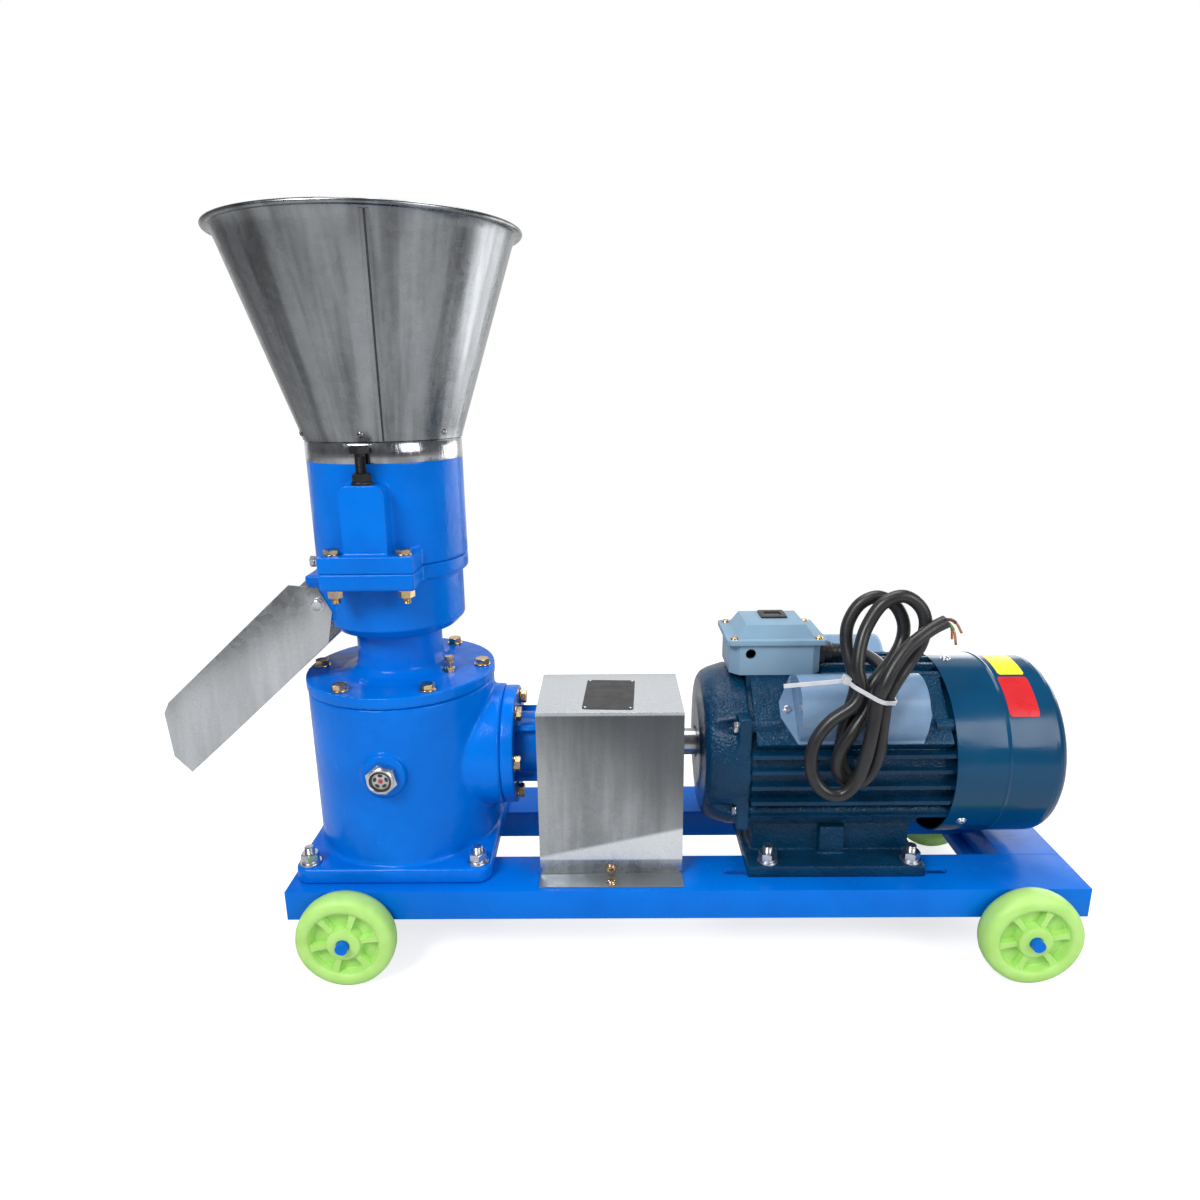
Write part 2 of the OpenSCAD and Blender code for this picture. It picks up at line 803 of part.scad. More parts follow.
module bevel_pinion() {
  inner = root_point(pinion_cone, cone_in);
  outer = root_point(pinion_cone, cone_out);
  color(steel) place() translate([mill_x, mill_y, shaft_z]) rotate([0, 90, 0]) difference() {
    union() {
      rotate_extrude() polygon([
        [0, inner[1]], inner, outer, [outer[0] + 2, outer[1] + 0.5], [outer[0] + 2, outer[1] + 5], [0, outer[1] + 5]
      ]);
      for (i = [0:pinion_teeth - 1])
        rotate(i * 360 / pinion_teeth) bevel_tooth(pinion_cone);
    }
    cylinder(h = 90, r = 9);
  }
}

module flat_die() {
  color(steel) place() difference() {
    rod_z(die_z, die_top, die_r);
    rod_z(die_z - 1, die_top + 1, die_bore_r);
    for (ring = [0:3])
      for (i = [0:13 + 5 * ring])
        rotate_about_mill(i * 360 / (14 + 5 * ring) + ring * 7)
          rod_z(die_z - 1, die_top + 1, 3, mill_x + 28 + 9 * ring, mill_y);
  }
}

module rotate_about_mill(a) {
  translate([mill_x, mill_y, 0]) rotate(a) translate([-mill_x, -mill_y, 0]) children();
}

module die_nut() {
  color(steel) place() translate([mill_x, mill_y, die_top]) difference() {
    union() {
      cylinder(h = 1.6, r = 13.2);
      translate([0, 0, 1.6]) hex(22, 7);
    }
    translate([0, 0, -1]) cylinder(h = 13, r = die_bore_r);
  }
}

module discharge_disc() {
  z0 = chamber_floor + 4;
  color(steel) place() difference() {
    union() {
      rod_z(z0, z0 + 4, chamber_in - 4);
      rod_z(z0, z0 + 12, 24);
      for (a = [0:120:240])
        rotate_about_mill(a) translate([mill_x + 18, mill_y - 3, z0 + 3]) cube([34, 6, 12]);
    }
    rod_z(z0 - 1, z0 + 16, 16);
  }
}

input_bearing_xs = [pad_x - spigot_l + 2, nose_x1 - 12 - input_bearing_w];
motor_bearing_xs = [motor_face + 14, body_x1 + 2];

module ball_bearings() {
  color(steel) place() {
    for (z = [lower_bearing_z, upper_bearing_z])
      difference() {
        rod_z(z, z + bearing_w, bearing_r);
        rod_z(z - 1, z + bearing_w + 1, journal_r);
      }
    for (x = concat(input_bearing_xs, motor_bearing_xs))
      ring_x(x, x + input_bearing_w, input_bearing_r, input_journal_r);
  }
}

module oil_seals() {
  z0 = chamber_floor - 9;
  color(dark) place() {
    difference() {
      rod_z(z0, z0 + 8, seal_r);
      rod_z(z0 - 1, z0 + 9, journal_r);
    }
    ring_x(nose_x1 - 12, nose_x1 - 4, input_bearing_r, input_journal_r);
  }
}

module roller_shaft() {
  color(steel) place() {
    rod_y(mill_y - roller_shaft_half, mill_y + roller_shaft_half, roller_shaft_r, mill_x, roller_z);
    rod_y(mill_y - roller_dy + roller_w / 2 + 0.5, mill_y + roller_dy - roller_w / 2 - 0.5, 17, mill_x, roller_z);
  }
}

// A press roller with grooves cut along its face
module roller(y) {
  grooves = 36;
  color(steel) place() translate([mill_x, y, roller_z]) rotate([90, 0, 0]) difference() {
    cylinder(h = roller_w, r = roller_r, center = true);
    cylinder(h = roller_w + 2, r = roller_shaft_r + run_gap, center = true);
    for (i = [0:grooves - 1])
      rotate(i * 360 / grooves) translate([roller_r + 0.4, 0, 0])
        cube([2.8, 2.8, roller_w + 2], center = true);
  }
}

module adjusting_bolt(y) {
  tip = roller_z + roller_shaft_r + fit_gap;
  color(dark) place() translate([mill_x, y, adjust_head_z]) bolt(adjust_r, adjust_head_z - tip, 16, adjust_head_h);
}

module adjusting_lock_nuts() {
  color(dark) place()
    for (dy = [-adjust_y, adjust_y])
      translate([mill_x, mill_y + dy, boss_top]) nut(adjust_r + 0.1, 16, adjust_nut_h, 9.4, 2.5);
}

// ---- Input side ----

module input_housing() {
  color(machine_blue) place() difference() {
    union() {
      rod_x(pad_x - spigot_l, pad_x + eps, spigot_r);
      rod_x(pad_x, flange_x1, input_flange_r);
      rod_x(flange_x1 - eps, nose_x1, nose_r);
      for (a = input_bolt_angles)
        input_bolt_at(a) cylinder(h = input_flange_t, r = 12);
      for (a = [45:90:315])
        translate([flange_x1 - eps, mill_y, shaft_z]) rotate([a, 0, 0])
          translate([0, -3, nose_r - 3]) cube([24, 6, 12]);
    }
    rod_x(pad_x - spigot_l - 1, nose_x1 - 4, input_bearing_r);
    rod_x(nose_x1 - 5, nose_x1 + 1, input_journal_r + 1);
    for (a = input_bolt_angles)
      input_bolt_at(a) translate([0, 0, -1]) cylinder(h = input_flange_t + 2, r = 4 + hole_gap);
  }
}

module input_housing_bolts() {
  color(yellow_zinc) place()
    for (a = input_bolt_angles)
      input_bolt_at(a) translate([0, 0, input_flange_t]) {
        cylinder(h = 1.6, r = 8);
        translate([0, 0, 1.6]) hex(13, 5.3);
        translate([0, 0, -input_flange_t - 16]) cylinder(h = input_flange_t + 17, r = 4);
      }
}

module input_shaft() {
  pinion_back = mill_x + root_point(pinion_cone, cone_out)[1] + 5;
  color(steel) place() {
    rod_x(mill_x + cone_in * cos(pinion_cone) - 2, pinion_back + eps, 9);
    rod_x(pinion_back, nose_x1 + 2, input_journal_r - run_gap);
    rod_x(nose_x1 + 2 - eps, hub_x1 - 1, 12);
  }
}

// Three coupling jaws about the shaft, starting at angle a0
module jaws(x0, x1, a0) {
  for (a = [a0, a0 + 120, a0 + 240])
    translate([x0, mill_y, shaft_z]) rotate([a, 0, 0]) rotate([0, 90, 0]) linear_extrude(x1 - x0)
      sector(16, hub_r - 1, jaw_angle);
}

// A flat ring sector centred on the -X direction of its sketch
module sector(r_in, r_out, angle) {
  steps = 6;
  polygon(concat(
    [for (i = [0:steps]) let (a = 180 - angle / 2 + angle * i / steps) [r_out * cos(a), r_out * sin(a)]],
    [for (i = [steps:-1:0]) let (a = 180 - angle / 2 + angle * i / steps) [r_in * cos(a), r_in * sin(a)]]
  ));
}

module gearbox_coupling_hub() {
  color(dark) place() difference() {
    union() {
      rod_x(hub_x0, hub_x1, hub_r);
      jaws(hub_x1 - 1, hub_x1 + hub_gap - 1.5, 0);
    }
    rod_x(hub_x0 - 1, hub_x1 + 1, 12);
  }
}

module motor_coupling_hub() {
  color(dark) place() difference() {
    union() {
      rod_x(motor_hub_x0, motor_hub_x1, hub_r);
      rod_x(motor_hub_x1 - 1, motor_boss_x1, shaft_r + 3);
      jaws(motor_hub_x0 - hub_gap + 1.5, motor_hub_x0 + 1, 60);
    }
    rod_x(motor_hub_x0 - 1, motor_boss_x1 + 1, shaft_r);
  }
}

module coupling_spider() {
  color([0.75, 0.15, 0.1]) place() translate([hub_x1 + 1, mill_y, shaft_z]) rotate([0, 90, 0])
    linear_extrude(hub_gap - 2) {
      difference() {
        circle(13.5);
        circle(7);
      }
      for (a = [30:60:330])
        rotate(a) sector(13, hub_r - 1, leg_angle);
    }
}

module guard_cover() {
  length = guard_x1 - guard_x0;
  color(galvanised) place() difference() {
    union() {
      translate([guard_x0, guard_y0 - guard_foot, 0]) cube([length, guard_foot + guard_t, guard_t]);
      translate([guard_x0, guard_y0, 0]) cube([length, guard_t, guard_z1]);
      translate([guard_x0, guard_y0, guard_z1 - guard_t]) cube([length, guard_y1 - guard_y0, guard_t]);
      translate([guard_x0, guard_y1 - guard_t, guard_z1 - 25]) cube([length, guard_t, 25]);
    }
    rod_z(-1, guard_t + 1, guard_screw_r + hole_gap, guard_mid, guard_screw_y);
    rod_y(guard_y0 - 1, guard_y0 + guard_t + 1, guard_screw_r + hole_gap, guard_mid, guard_screw_z);
  }
}

module guard_screws() {
  color(yellow_zinc) place() {
    rod_z(-8, guard_t + eps, guard_screw_r, guard_mid, guard_screw_y);
    rod_z(guard_t, guard_t + 3, 4.6, guard_mid, guard_screw_y);
    rod_y(guard_y0 - eps, guard_y0 + 10, guard_screw_r, guard_mid, guard_screw_z);
    rod_y(guard_y0 - 3, guard_y0, 4.6, guard_mid, guard_screw_z);
  }
}

// ---- Motor ----

module motor_housing() {
  color(motor_navy) place() difference() {
    union() {
      rod_x(body_x0, body_x1, shell_r);
      intersection() {
        union() {
          for (i = [-2:2])
            translate([body_x0, mill_y - fin_reach, shaft_z + i * fin_pitch - 9.8 - fin_t / 2])
              cube([body_l, 2 * fin_reach, fin_t]);
          for (i = [-2:2])
            translate([body_x0, mill_y + i * fin_pitch - fin_t / 2, shaft_z])
              cube([body_l, fin_t, shell_r + 20]);
        }
        union() {
          rod_x(body_x0, cowl_x0 - 2, shell_r + 13);
          rod_x(body_x0, body_x1, cowl_in);
        }
      }
      motor_pads();
    }
    rod_x(body_x0 - 1, body_x1 + 1, shell_in);
    translate([box_x0 - 1, mill_y - box_w / 2 - 2, box_z]) cube([box_l + 2, box_w + 4, 30]);
    cap_place() translate([-cap_tab - 2, -38, 0]) cube([cap_l + 2 * cap_tab + 4, 76, 30]);
    for (a = shield_bolt_angles)
      shield_bolt_at(a) translate([0, 0, -1]) cylinder(h = body_l + 2, r = 3);
    for (a = cowl_lug_angles)
      cowl_screw_at(a) translate([0, 0, -8]) cylinder(h = 20, r = 2);
  }
}

// Flat seats for the terminal box, the capacitor covers, the cradle and the cowl
module motor_pads() {
  translate([box_x0 + 16, mill_y - box_w / 2 + 6, shaft_z + 60]) cube([box_l - 22, box_w - 12, box_z - shaft_z - 60]);
  for (m = [0, 1])
    translate([0, mill_y, shaft_z]) mirror([0, m, 0]) rotate([45, 0, 0])
      translate([body_x0 + 4, -36, 60]) cube([body_l - 45, 72, cap_seat - 60]);
  translate([foot_x0 + 1, mill_y - 60, cradle_top]) cube([foot_l - 2, 120, shaft_z - 50 - cradle_top]);
  for (a = cowl_lug_angles)
    translate([cowl_screw_x - 6, mill_y, shaft_z]) rotate([a - 90, 0, 0])
      translate([0, -7, 70]) cube([12, 14, cowl_in - 70.5]);
  for (a = shield_bolt_angles)
    shield_bolt_at(a) cylinder(h = body_l, r = 6.5);
}

cradle_top = 42;
shield_bolt_r = cowl_in - 6.5;
shield_bolt_angles = [34, 146, 208, 332];

// Places a shield bolt on the body's left end, pointing to the right
module shield_bolt_at(a) {
  translate([body_x0, mill_y + shield_bolt_r * cos(a), shaft_z + shield_bolt_r * sin(a)])
    rotate([0, 90, 0]) children();
}

// Places a cowl screw on the cowl's outside, pointing inwards
module cowl_screw_at(a) {
  translate([cowl_screw_x, mill_y, shaft_z]) rotate([a - 90, 0, 0]) translate([0, 0, cowl_r]) rotate([180, 0, 0])
    children();
}

module motor_stator() {
  stack_x0 = body_x0 + 40;
  stack_x1 = body_x1 - 45;
  color(steel) place() {
    ring_x(stack_x0, stack_x1, shell_in, stator_in);
    ring_x(stack_x0 - 22, stack_x0, shell_in - 8, stator_in + 4);
    ring_x(stack_x1, stack_x1 + 22, shell_in - 8, stator_in + 4);
  }
}

module motor_rotor() {
  fan_x1 = body_x1 + rear_shield_l + 46;
  color(steel) place() {
    rod_x(motor_hub_x0 + 2, fan_x1, shaft_r);
    rod_x(motor_face + 6, body_x1 + 18, input_journal_r - run_gap);
    rod_x(body_x0 + 42, body_x1 - 47, rotor_r);
  }
}

module drive_end_shield() {
  seat_x = motor_bearing_xs[0];
  color(motor_navy) place() difference() {
    union() {
      turned_x([
        [0, motor_face], [44, motor_face], [50, motor_face + 2], [70, motor_face + 3], [76, motor_face + 7],
        [80, motor_face + 14], [shield_r, motor_face + 30], [shield_r, body_x0], [0, body_x0]
      ]);
      for (a = shield_bolt_angles)
        shield_bolt_at(a) translate([0, 0, -13]) cylinder(h = 13, r = 8);
      for (m = [0, 1])
        translate([0, mill_y, 0]) mirror([0, m, 0])
          translate([body_x0 - 13, 6 - fin_reach, shaft_z - 59]) cube([13, 40, 118]);
    }
    turned_x([
      [input_bearing_r, seat_x], [input_bearing_r, seat_x + input_bearing_w], [shell_in - 6, seat_x + 22],
      [shell_in, body_x0 + 1], [0, body_x0 + 1], [0, seat_x]
    ]);
    rod_x(motor_face - 1, body_x0, input_journal_r + 1);
    for (a = shield_bolt_angles)
      shield_bolt_at(a) {
        translate([0, 0, -40]) cylinder(h = 41, r = 3 + hole_gap);
        translate([0, 0, -40]) cylinder(h = 27, r = 7);
      }
  }
}

module rear_end_shield() {
  seat_x = motor_bearing_xs[1];
  color(motor_navy) place() difference() {
    union() {
      rod_x(body_x1, body_x1 + 8, shield_r);
      rod_x(body_x1, body_x1 + rear_shield_l, 42);
      for (a = shield_bolt_angles)
        shield_bolt_at(a) translate([0, 0, body_l]) cylinder(h = 8, r = 6.5);
    }
    rod_x(body_x1 - 1, seat_x + input_bearing_w, input_bearing_r);
    rod_x(body_x1 - 1, body_x1 + rear_shield_l + 1, input_journal_r + 1);
    for (a = shield_bolt_angles)
      shield_bolt_at(a) translate([0, 0, body_l - 1]) cylinder(h = 10, r = 3 + hole_gap);
  }
}

// The end shields' bolts and the cowl's screws
module motor_screws() {
  color(zinc) place() {
    for (a = shield_bolt_angles)
      shield_bolt_at(a) {
        translate([0, 0, -13]) mirror([0, 0, 1]) bolt(3, 42, 10, 4);
        translate([0, 0, body_l + 8]) bolt(3, 30, 10, 4);
      }
    for (a = cowl_lug_angles)
      cowl_screw_at(a) {
        translate([0, 0, -2]) cylinder(h = 2, r = 4.5);
        cylinder(h = 9, r = 2);
      }
  }
}

module fan_cover() {
  x1 = cowl_x1;
  r = cowl_r;
  bead_x = cowl_x0 + 50;
  color(motor_navy) place() difference() {
    turned_x(concat(
      [[r - cowl_t, cowl_x0], [r, cowl_x0], [r, bead_x - 2], [r + 0.8, bead_x], [r, bead_x + 2]],
      [for (a = [0:15:90]) [r - cowl_round + cowl_round * cos(a), x1 - cowl_round + cowl_round * sin(a)]],
      [[0, x1], [0, x1 - cowl_t]],
      [for (a = [90:-15:0]) [r - cowl_round + (cowl_round - cowl_t) * cos(a),
                             x1 - cowl_round + (cowl_round - cowl_t) * sin(a)]]
    ));
    for (ring = [0:4])
      for (i = [0:5])
        translate([x1 - 5, mill_y, shaft_z]) rotate([i * 60 + 5, 0, 0]) rotate([0, 90, 0]) linear_extrude(10)
          sector(16 + ring * 12, 22 + ring * 12, 50);
    for (a = cowl_lug_angles)
      cowl_screw_at(a) translate([0, 0, -1]) cylinder(h = 3, r = 2 + hole_gap);
  }
}

module cooling_fan() {
  x0 = body_x1 + rear_shield_l + 6;
  color(dark) place() difference() {
    union() {
      rod_x(x0, x0 + 34, 22);
      rod_x(x0, x0 + 3, 60);
      for (a = [0:45:315])
        translate([x0, mill_y, shaft_z]) rotate([a, 0, 0]) translate([0, -1.5, 18]) cube([34, 3, 62]);
    }
    rod_x(x0 - 1, x0 + 35, shaft_r);
  }
}

module motor_cradle() {
  web_y = mill_y - 62;
  color(motor_navy) place() difference() {
    union() {
      translate([foot_x0, mill_y - foot_w / 2, 0]) cube([foot_l, foot_w, foot_t]);
      for (m = [0, 1])
        translate([0, mill_y, 0]) mirror([0, m, 0]) {
          translate([foot_x0 + 8, -60, 0]) cube([foot_l - 16, 8, cradle_top]);
          translate([foot_x0 + foot_l / 2 - 13, -foot_w / 2 + 23, foot_t - eps])
            cube([26, foot_w / 2 - 70, cradle_top - foot_t]);
        }
      translate([foot_x0 + 8, mill_y - 60, foot_t]) cube([foot_l - 16, 120, cradle_top - foot_t]);
    }
    rod_x(foot_x0 - 1, foot_x0 + foot_l + 1, shell_r);
    translate([foot_x0 + 14, mill_y - 52, foot_t]) cube([foot_l - 28, 104, cradle_top]);
    for (x = foot_bolt_xs, y = foot_bolt_ys)
      rod_z(-1, foot_t + 1, bolt_r + hole_gap, x, y);
  }
}

// ---- Terminal box and capacitors ----

// The box's outline in plan, its corners cut off
module box_plan(inset, cut) {
  l = box_l - 2 * inset;
  w = box_w - 2 * inset;
  translate([box_x0 + inset, mill_y - box_w / 2 + inset]) polygon([
    [cut, 0], [l - cut, 0], [l, cut], [l, w - cut], [l - cut, w], [cut, w], [0, w - cut], [0, cut]
  ]);
}

module terminal_box() {
  color(box_grey) place() difference() {
    translate([0, 0, box_z]) linear_extrude(box_h) box_plan(0, 9);
    translate([0, 0, box_z + box_t]) linear_extrude(box_h) box_plan(box_t, 8);
    rod_y(mill_y - box_w / 2 - 1, mill_y - box_w / 2 + box_t + 1, entry_r, box_x0 + 20, box_z + 22);
    rod_x(box_x0 + box_l - box_t - 1, box_x0 + box_l + 1, 8, gland_y, gland_z);
    for (x = lid_screw_xs, y = lid_screw_ys)
      rod_z(box_z + box_h - 12, box_z + box_h + 1, 1.6, x, y);
  }
}

lid_screw_xs = [box_x0 + 3.5, box_x0 + box_l - 3.5];
lid_screw_ys = [mill_y - box_w / 2 + 3.5, mill_y + box_w / 2 - 3.5];
lid_z = box_z + box_h;
plateau_l = 59;
plateau_w = 52;

// A block with sloped sides: full size below, plateau size above
module lid_block(grow, z0, z1) {
  mid = box_x0 + box_l / 2;
  l0 = box_l / 2 - 7 + grow;
  l1 = plateau_l / 2 + grow;
  w0 = box_w / 2 - 4 + grow;
  w1 = plateau_w / 2 + grow;
  intersection() {
    translate([mid, mill_y + box_w, 0]) rotate([90, 0, 0]) linear_extrude(2 * box_w)
      polygon([[-l0, z0], [l0, z0], [l1, z1], [-l1, z1]]);
    translate([box_x0 - box_l, mill_y, 0]) rotate([90, 0, 90]) linear_extrude(3 * box_l)
      polygon([[-w0, z0], [w0, z0], [w1, z1], [-w1, z1]]);
  }
}

module terminal_lid() {
  color(box_grey) place() difference() {
    union() {
      translate([0, 0, lid_z]) linear_extrude(rim_t) box_plan(-lid_over, 3);
      lid_block(0, lid_z + rim_t - eps, lid_z + rim_t + lid_rise);
    }
    translate([0, 0, -eps]) lid_block(-2.5, lid_z, lid_z + rim_t + lid_rise - 2.5);
    for (x = lid_screw_xs, y = lid_screw_ys)
      rod_z(lid_z - 1, lid_z + rim_t + 1, 2 + hole_gap, x, y);
    translate([window_x - 9, window_y - 7, lid_z + rim_t + lid_rise - 4]) cube([18, 14, 6]);
  }
}

window_x = box_x0 + box_l / 2 + 3;
window_y = mill_y + 10;

module lid_screws() {
  color(yellow_zinc) place()
    for (x = lid_screw_xs, y = lid_screw_ys)
      translate([x, y, lid_z + rim_t]) {
        cylinder(h = 2.2, r = 4);
        translate([0, 0, -rim_t - 8]) cylinder(h = rim_t + 9, r = 1.6);
      }
}

module lid_window_frame() {
  top = lid_z + rim_t + lid_rise;
  color(dark) place() {
    difference() {
      translate([window_x - 13.5, window_y - 13, top]) cube([27, 26, 2]);
      translate([window_x - 8, window_y - 6, top - 1]) cube([16, 12, 4]);
    }
    difference() {
      translate([window_x - 9 + 0.1, window_y - 7 + 0.1, top - 3]) cube([17.8, 13.8, 3 + eps]);
      translate([window_x - 8, window_y - 6, top - 1.5]) cube([16, 12, 4]);
    }
  }
}

module cap_place() {
  for (m = [0, 1])
    translate([cap_x0, mill_y, shaft_z]) mirror([0, m, 0]) rotate([45, 0, 0]) translate([0, 0, cap_seat]) children();
}

module cap_shell(r, x0, x1) {
  intersection() {
    translate([x0, 0, 5]) rotate([0, 90, 0]) cylinder(h = x1 - x0, r = r);
    translate([x0 - 1, -r - 1, 0]) cube([x1 - x0 + 2, 2 * r + 2, r + 10]);
  }
}

module capacitor_covers() {
  color([0.55, 0.68, 0.8, 0.6]) place() cap_place() difference() {
    union() {
      cap_shell(cap_r, 0, cap_l);
      linear_extrude(2.4) polygon([
        [-cap_tab, -8], [0, -36], [cap_l, -36], [cap_l + cap_tab, -8], [cap_l + cap_tab, 8], [cap_l, 36],
        [0, 36], [-cap_tab, 8]
      ]);
    }
    translate([0, 0, -eps]) cap_shell(cap_r - cap_wall, cap_wall, cap_l - cap_wall);
    for (x = [-7, cap_l + 7])
      translate([x, 0, -1]) cylinder(h = 5, r = 2.4);
  }
}

module capacitors() {
  color([0.85, 0.85, 0.82]) place() cap_place() translate([10, 0, 18])
    rotate([0, 90, 0]) cylinder(h = cap_l - 22, r = 17.5);
}

module cable_gland() {
  x0 = box_x0 + box_l;
  color(dark) place() difference() {
    union() {
      rod_x(x0 - box_t - 3, x0 + 1, 7.9, gland_y, gland_z);
      translate([x0, gland_y, gland_z]) rotate([0, 90, 0]) hex(22, 6);
      rod_x(x0 + 5, x0 + 13.74, 9.6, gland_y, gland_z);
    }
    rod_x(x0 - box_t - 4, x0 + 10, 4.5, gland_y, gland_z);
  }
}

// ---- Cord ----

// The cord's centre line from the gland, through three lower and two upper loops, to its free end
cord_points = [
  [546.2, 98, 211.5], [552, 98, 211.5], [559, 98, 211.5], [571, 91, 213], [579, 72, 213], [582, 50, 212], [581, 32, 209],
  [575, 16, 201], [570, 9, 189], [571, 7, 174], [572, 7, 156], [571, 7, 138], [565, 7, 124], [556, 7, 117],
  [546, 7, 118], [538, 7, 128], [535, 7, 145], [537, 7, 166], [542, 8.5, 188], [546, 11, 207],
  [542, 17, 226], [539, 25, 244], [541, 30, 262], [551, 32, 279], [567, 32, 286], [583, 32, 278],
  [592, 31, 262], [591, 28, 245], [581, 21, 229], [567, 14, 215], [558, 10, 202],
  [554, 1, 188], [542, -6, 171], [531, -7, 151], [529, -7, 133], [538, -7, 120], [552, -7, 120],
  [562, -7, 134], [566, -6, 155], [568, -5, 180], [570, -4, 200],
  [580, 1, 217], [592, 7, 232], [602, 11, 248], [606, 15, 266], [600, 17, 281], [585, 18, 290],
  [567, 18, 283], [554, 15, 264], [547, 9, 246], [544, 2, 227], [547, -3, 210],
  [540, -6, 195], [520, -7, 180], [507, -9, 162], [503, -12, 142], [507, -15, 125], [518, -18, 114],
  [532, -19.5, 114], [543, -20, 127], [549, -20, 146], [553, -19, 168], [556, -17, 188],
  [558, -15, 204], [563, -15, 218], [571, -11, 233], [583, -6, 248], [596, -2, 258], [608, 2, 265], [619, 4, 270]
];
cord_step = 1 / 1.25;
core_points = [
  [[617.6, 4, 271.8], [624, 4, 271.5], [630, 5, 267], [635, 6, 259]],
  [[617.6, 5.6, 268.8], [623, 6.5, 267.5], [627, 8.5, 262], [629, 10, 252]],
  [[617.6, 2.4, 268.8], [622, 1.5, 267.5], [626, 0, 261], [628, -1, 250]]
];

// A point at u on the smooth curve through a list of points, where u counts points
function curve_at(p, u) =
  let (i = min(floor(u), len(p) - 2), t = u - i,
       a = p[max(i - 1, 0)], b = p[i], c = p[i + 1], d = p[min(i + 2, len(p) - 1)])
  0.5 * (2 * b + (c - a) * t + (2 * a - 5 * b + 4 * c - d) * t * t + (3 * b - a - 3 * c + d) * t * t * t);

function unit(v) = v / norm(v);

// Keeps a side direction square to the curve as it bends
function carried(n, along) = unit(n - (n * along) * along);

// A plain tube of 8 sides along a curve
module tube(p, r, step) {
  line = [for (u = [0:step:len(p) - 1 + eps]) curve_at(p, min(u, len(p) - 1))];
  last = len(line) - 1;
  along = [for (i = [0:last]) unit(line[min(i + 1, last)] - line[max(i - 1, 0)])];
  across = [
    for (i = 0, n = carried([0.1, 0.2, 1], along[0]); i <= last;
         i = i + 1, n = carried(n, along[min(i, last)])) n
  ];
  points = [
    for (i = [0:last], k = [0:7])
      line[i] + r * (cos(k * 45) * across[i] + sin(k * 45) * cross(along[i], across[i]))
  ];
  sides = [for (i = [0:last - 1], k = [0:7]) [8 * i + k, 8 * i + (k + 1) % 8, 8 * i + 8 + (k + 1) % 8, 8 * i + 8 + k]];
  polyhedron(points, concat([[for (k = [7:-1:0]) k]], sides, [[for (k = [0:7]) 8 * last + k]]));
}

module power_cord() {
  color(dark) place() tube(cord_points, cord_d / 2, cord_step);
}

module cord_cores() {
  color([0.6, 0.35, 0.25]) place()
    for (p = core_points)
      tube(p, 1.1, 0.5);
}

tie_at = [556.5, -1.5, 204];
tie_w = 3.6;
tie_t = 1.5;

module tie_outline(grow) {
  offset(cord_d / 2 + grow) polygon([[-12.8, -1], [1.4, -13.6], [14.2, -2.5], [19, 19.7], [-14.6, 15.2]]);
}

// The band round the six strands, its head on the left and its tail beyond it
module cord_tie() {
  color([0.9, 0.9, 0.9]) place() {
    translate(tie_at) rotate([0, 22, 0]) {
      linear_extrude(tie_w) difference() {
        tie_outline(1.2 + tie_t);
        tie_outline(1.2);
      }
      translate([-27.2, 2, -1]) cube([6, 9, 7]);
    }
    translate(tie_at + [-22, 5, 9]) rotate([0, -5, 0]) translate([-56, 0, 0]) cube([57, 1.5, tie_w]);
  }
}

chassis_frame();
axles();
wheel(axle_xs[0], -wheel_out);  // front_left_wheel
wheel(axle_xs[1], -wheel_out);  // front_right_wheel
wheel(axle_xs[0], frame_w + wheel_out);  // rear_left_wheel
wheel(axle_xs[1], frame_w + wheel_out);  // rear_right_wheel
gearbox_housing();
lower_housing();
upper_housing();
gearbox_cover_bolts();
clamp_bolts();
mounting_bolts();
breather_plug();
sight_glass_nut();
sight_glass_lens();
hopper();
discharge_chute();
chute_screws();
main_shaft();
crown_gear();
flat_die();
die_nut();
discharge_disc();
cutter_screw();
ball_bearings();
oil_seals();
roller_shaft();
roller(mill_y - roller_dy);  // front_roller
roller(mill_y + roller_dy);  // rear_roller
adjusting_bolt(mill_y - adjust_y);  // front_adjusting_bolt
adjusting_bolt(mill_y + adjust_y);  // rear_adjusting_bolt
adjusting_lock_nuts();
input_housing();
input_housing_bolts();
input_shaft();
bevel_pinion();
gearbox_coupling_hub();
motor_coupling_hub();
coupling_spider();
guard_cover();
guard_screws();
motor_housing();
motor_stator();
motor_rotor();
drive_end_shield();
rear_end_shield();
motor_screws();
fan_cover();
cooling_fan();
motor_cradle();
terminal_box();
terminal_lid();
lid_screws();
lid_window_frame();
capacitor_covers();
capacitors();
cable_gland();
power_cord();
cord_cores();
cord_tie();
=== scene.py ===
# %% [markdown]
# A small feed pellet mill: feed goes in at the hopper, two rollers press it through a flat die, and the
# pellets slide down the chute. An electric motor turns the die through a guarded coupling and a bevel
# gearbox. The frame loaded here holds every steel and iron part at its real size; this script gives them
# their finishes and adds what a drawing leaves out, such as welds, threads, seams and the cord's curve.

# %% Load the measured frame
import json
import math

import bmesh
import bpy
from mathutils import Matrix, Vector

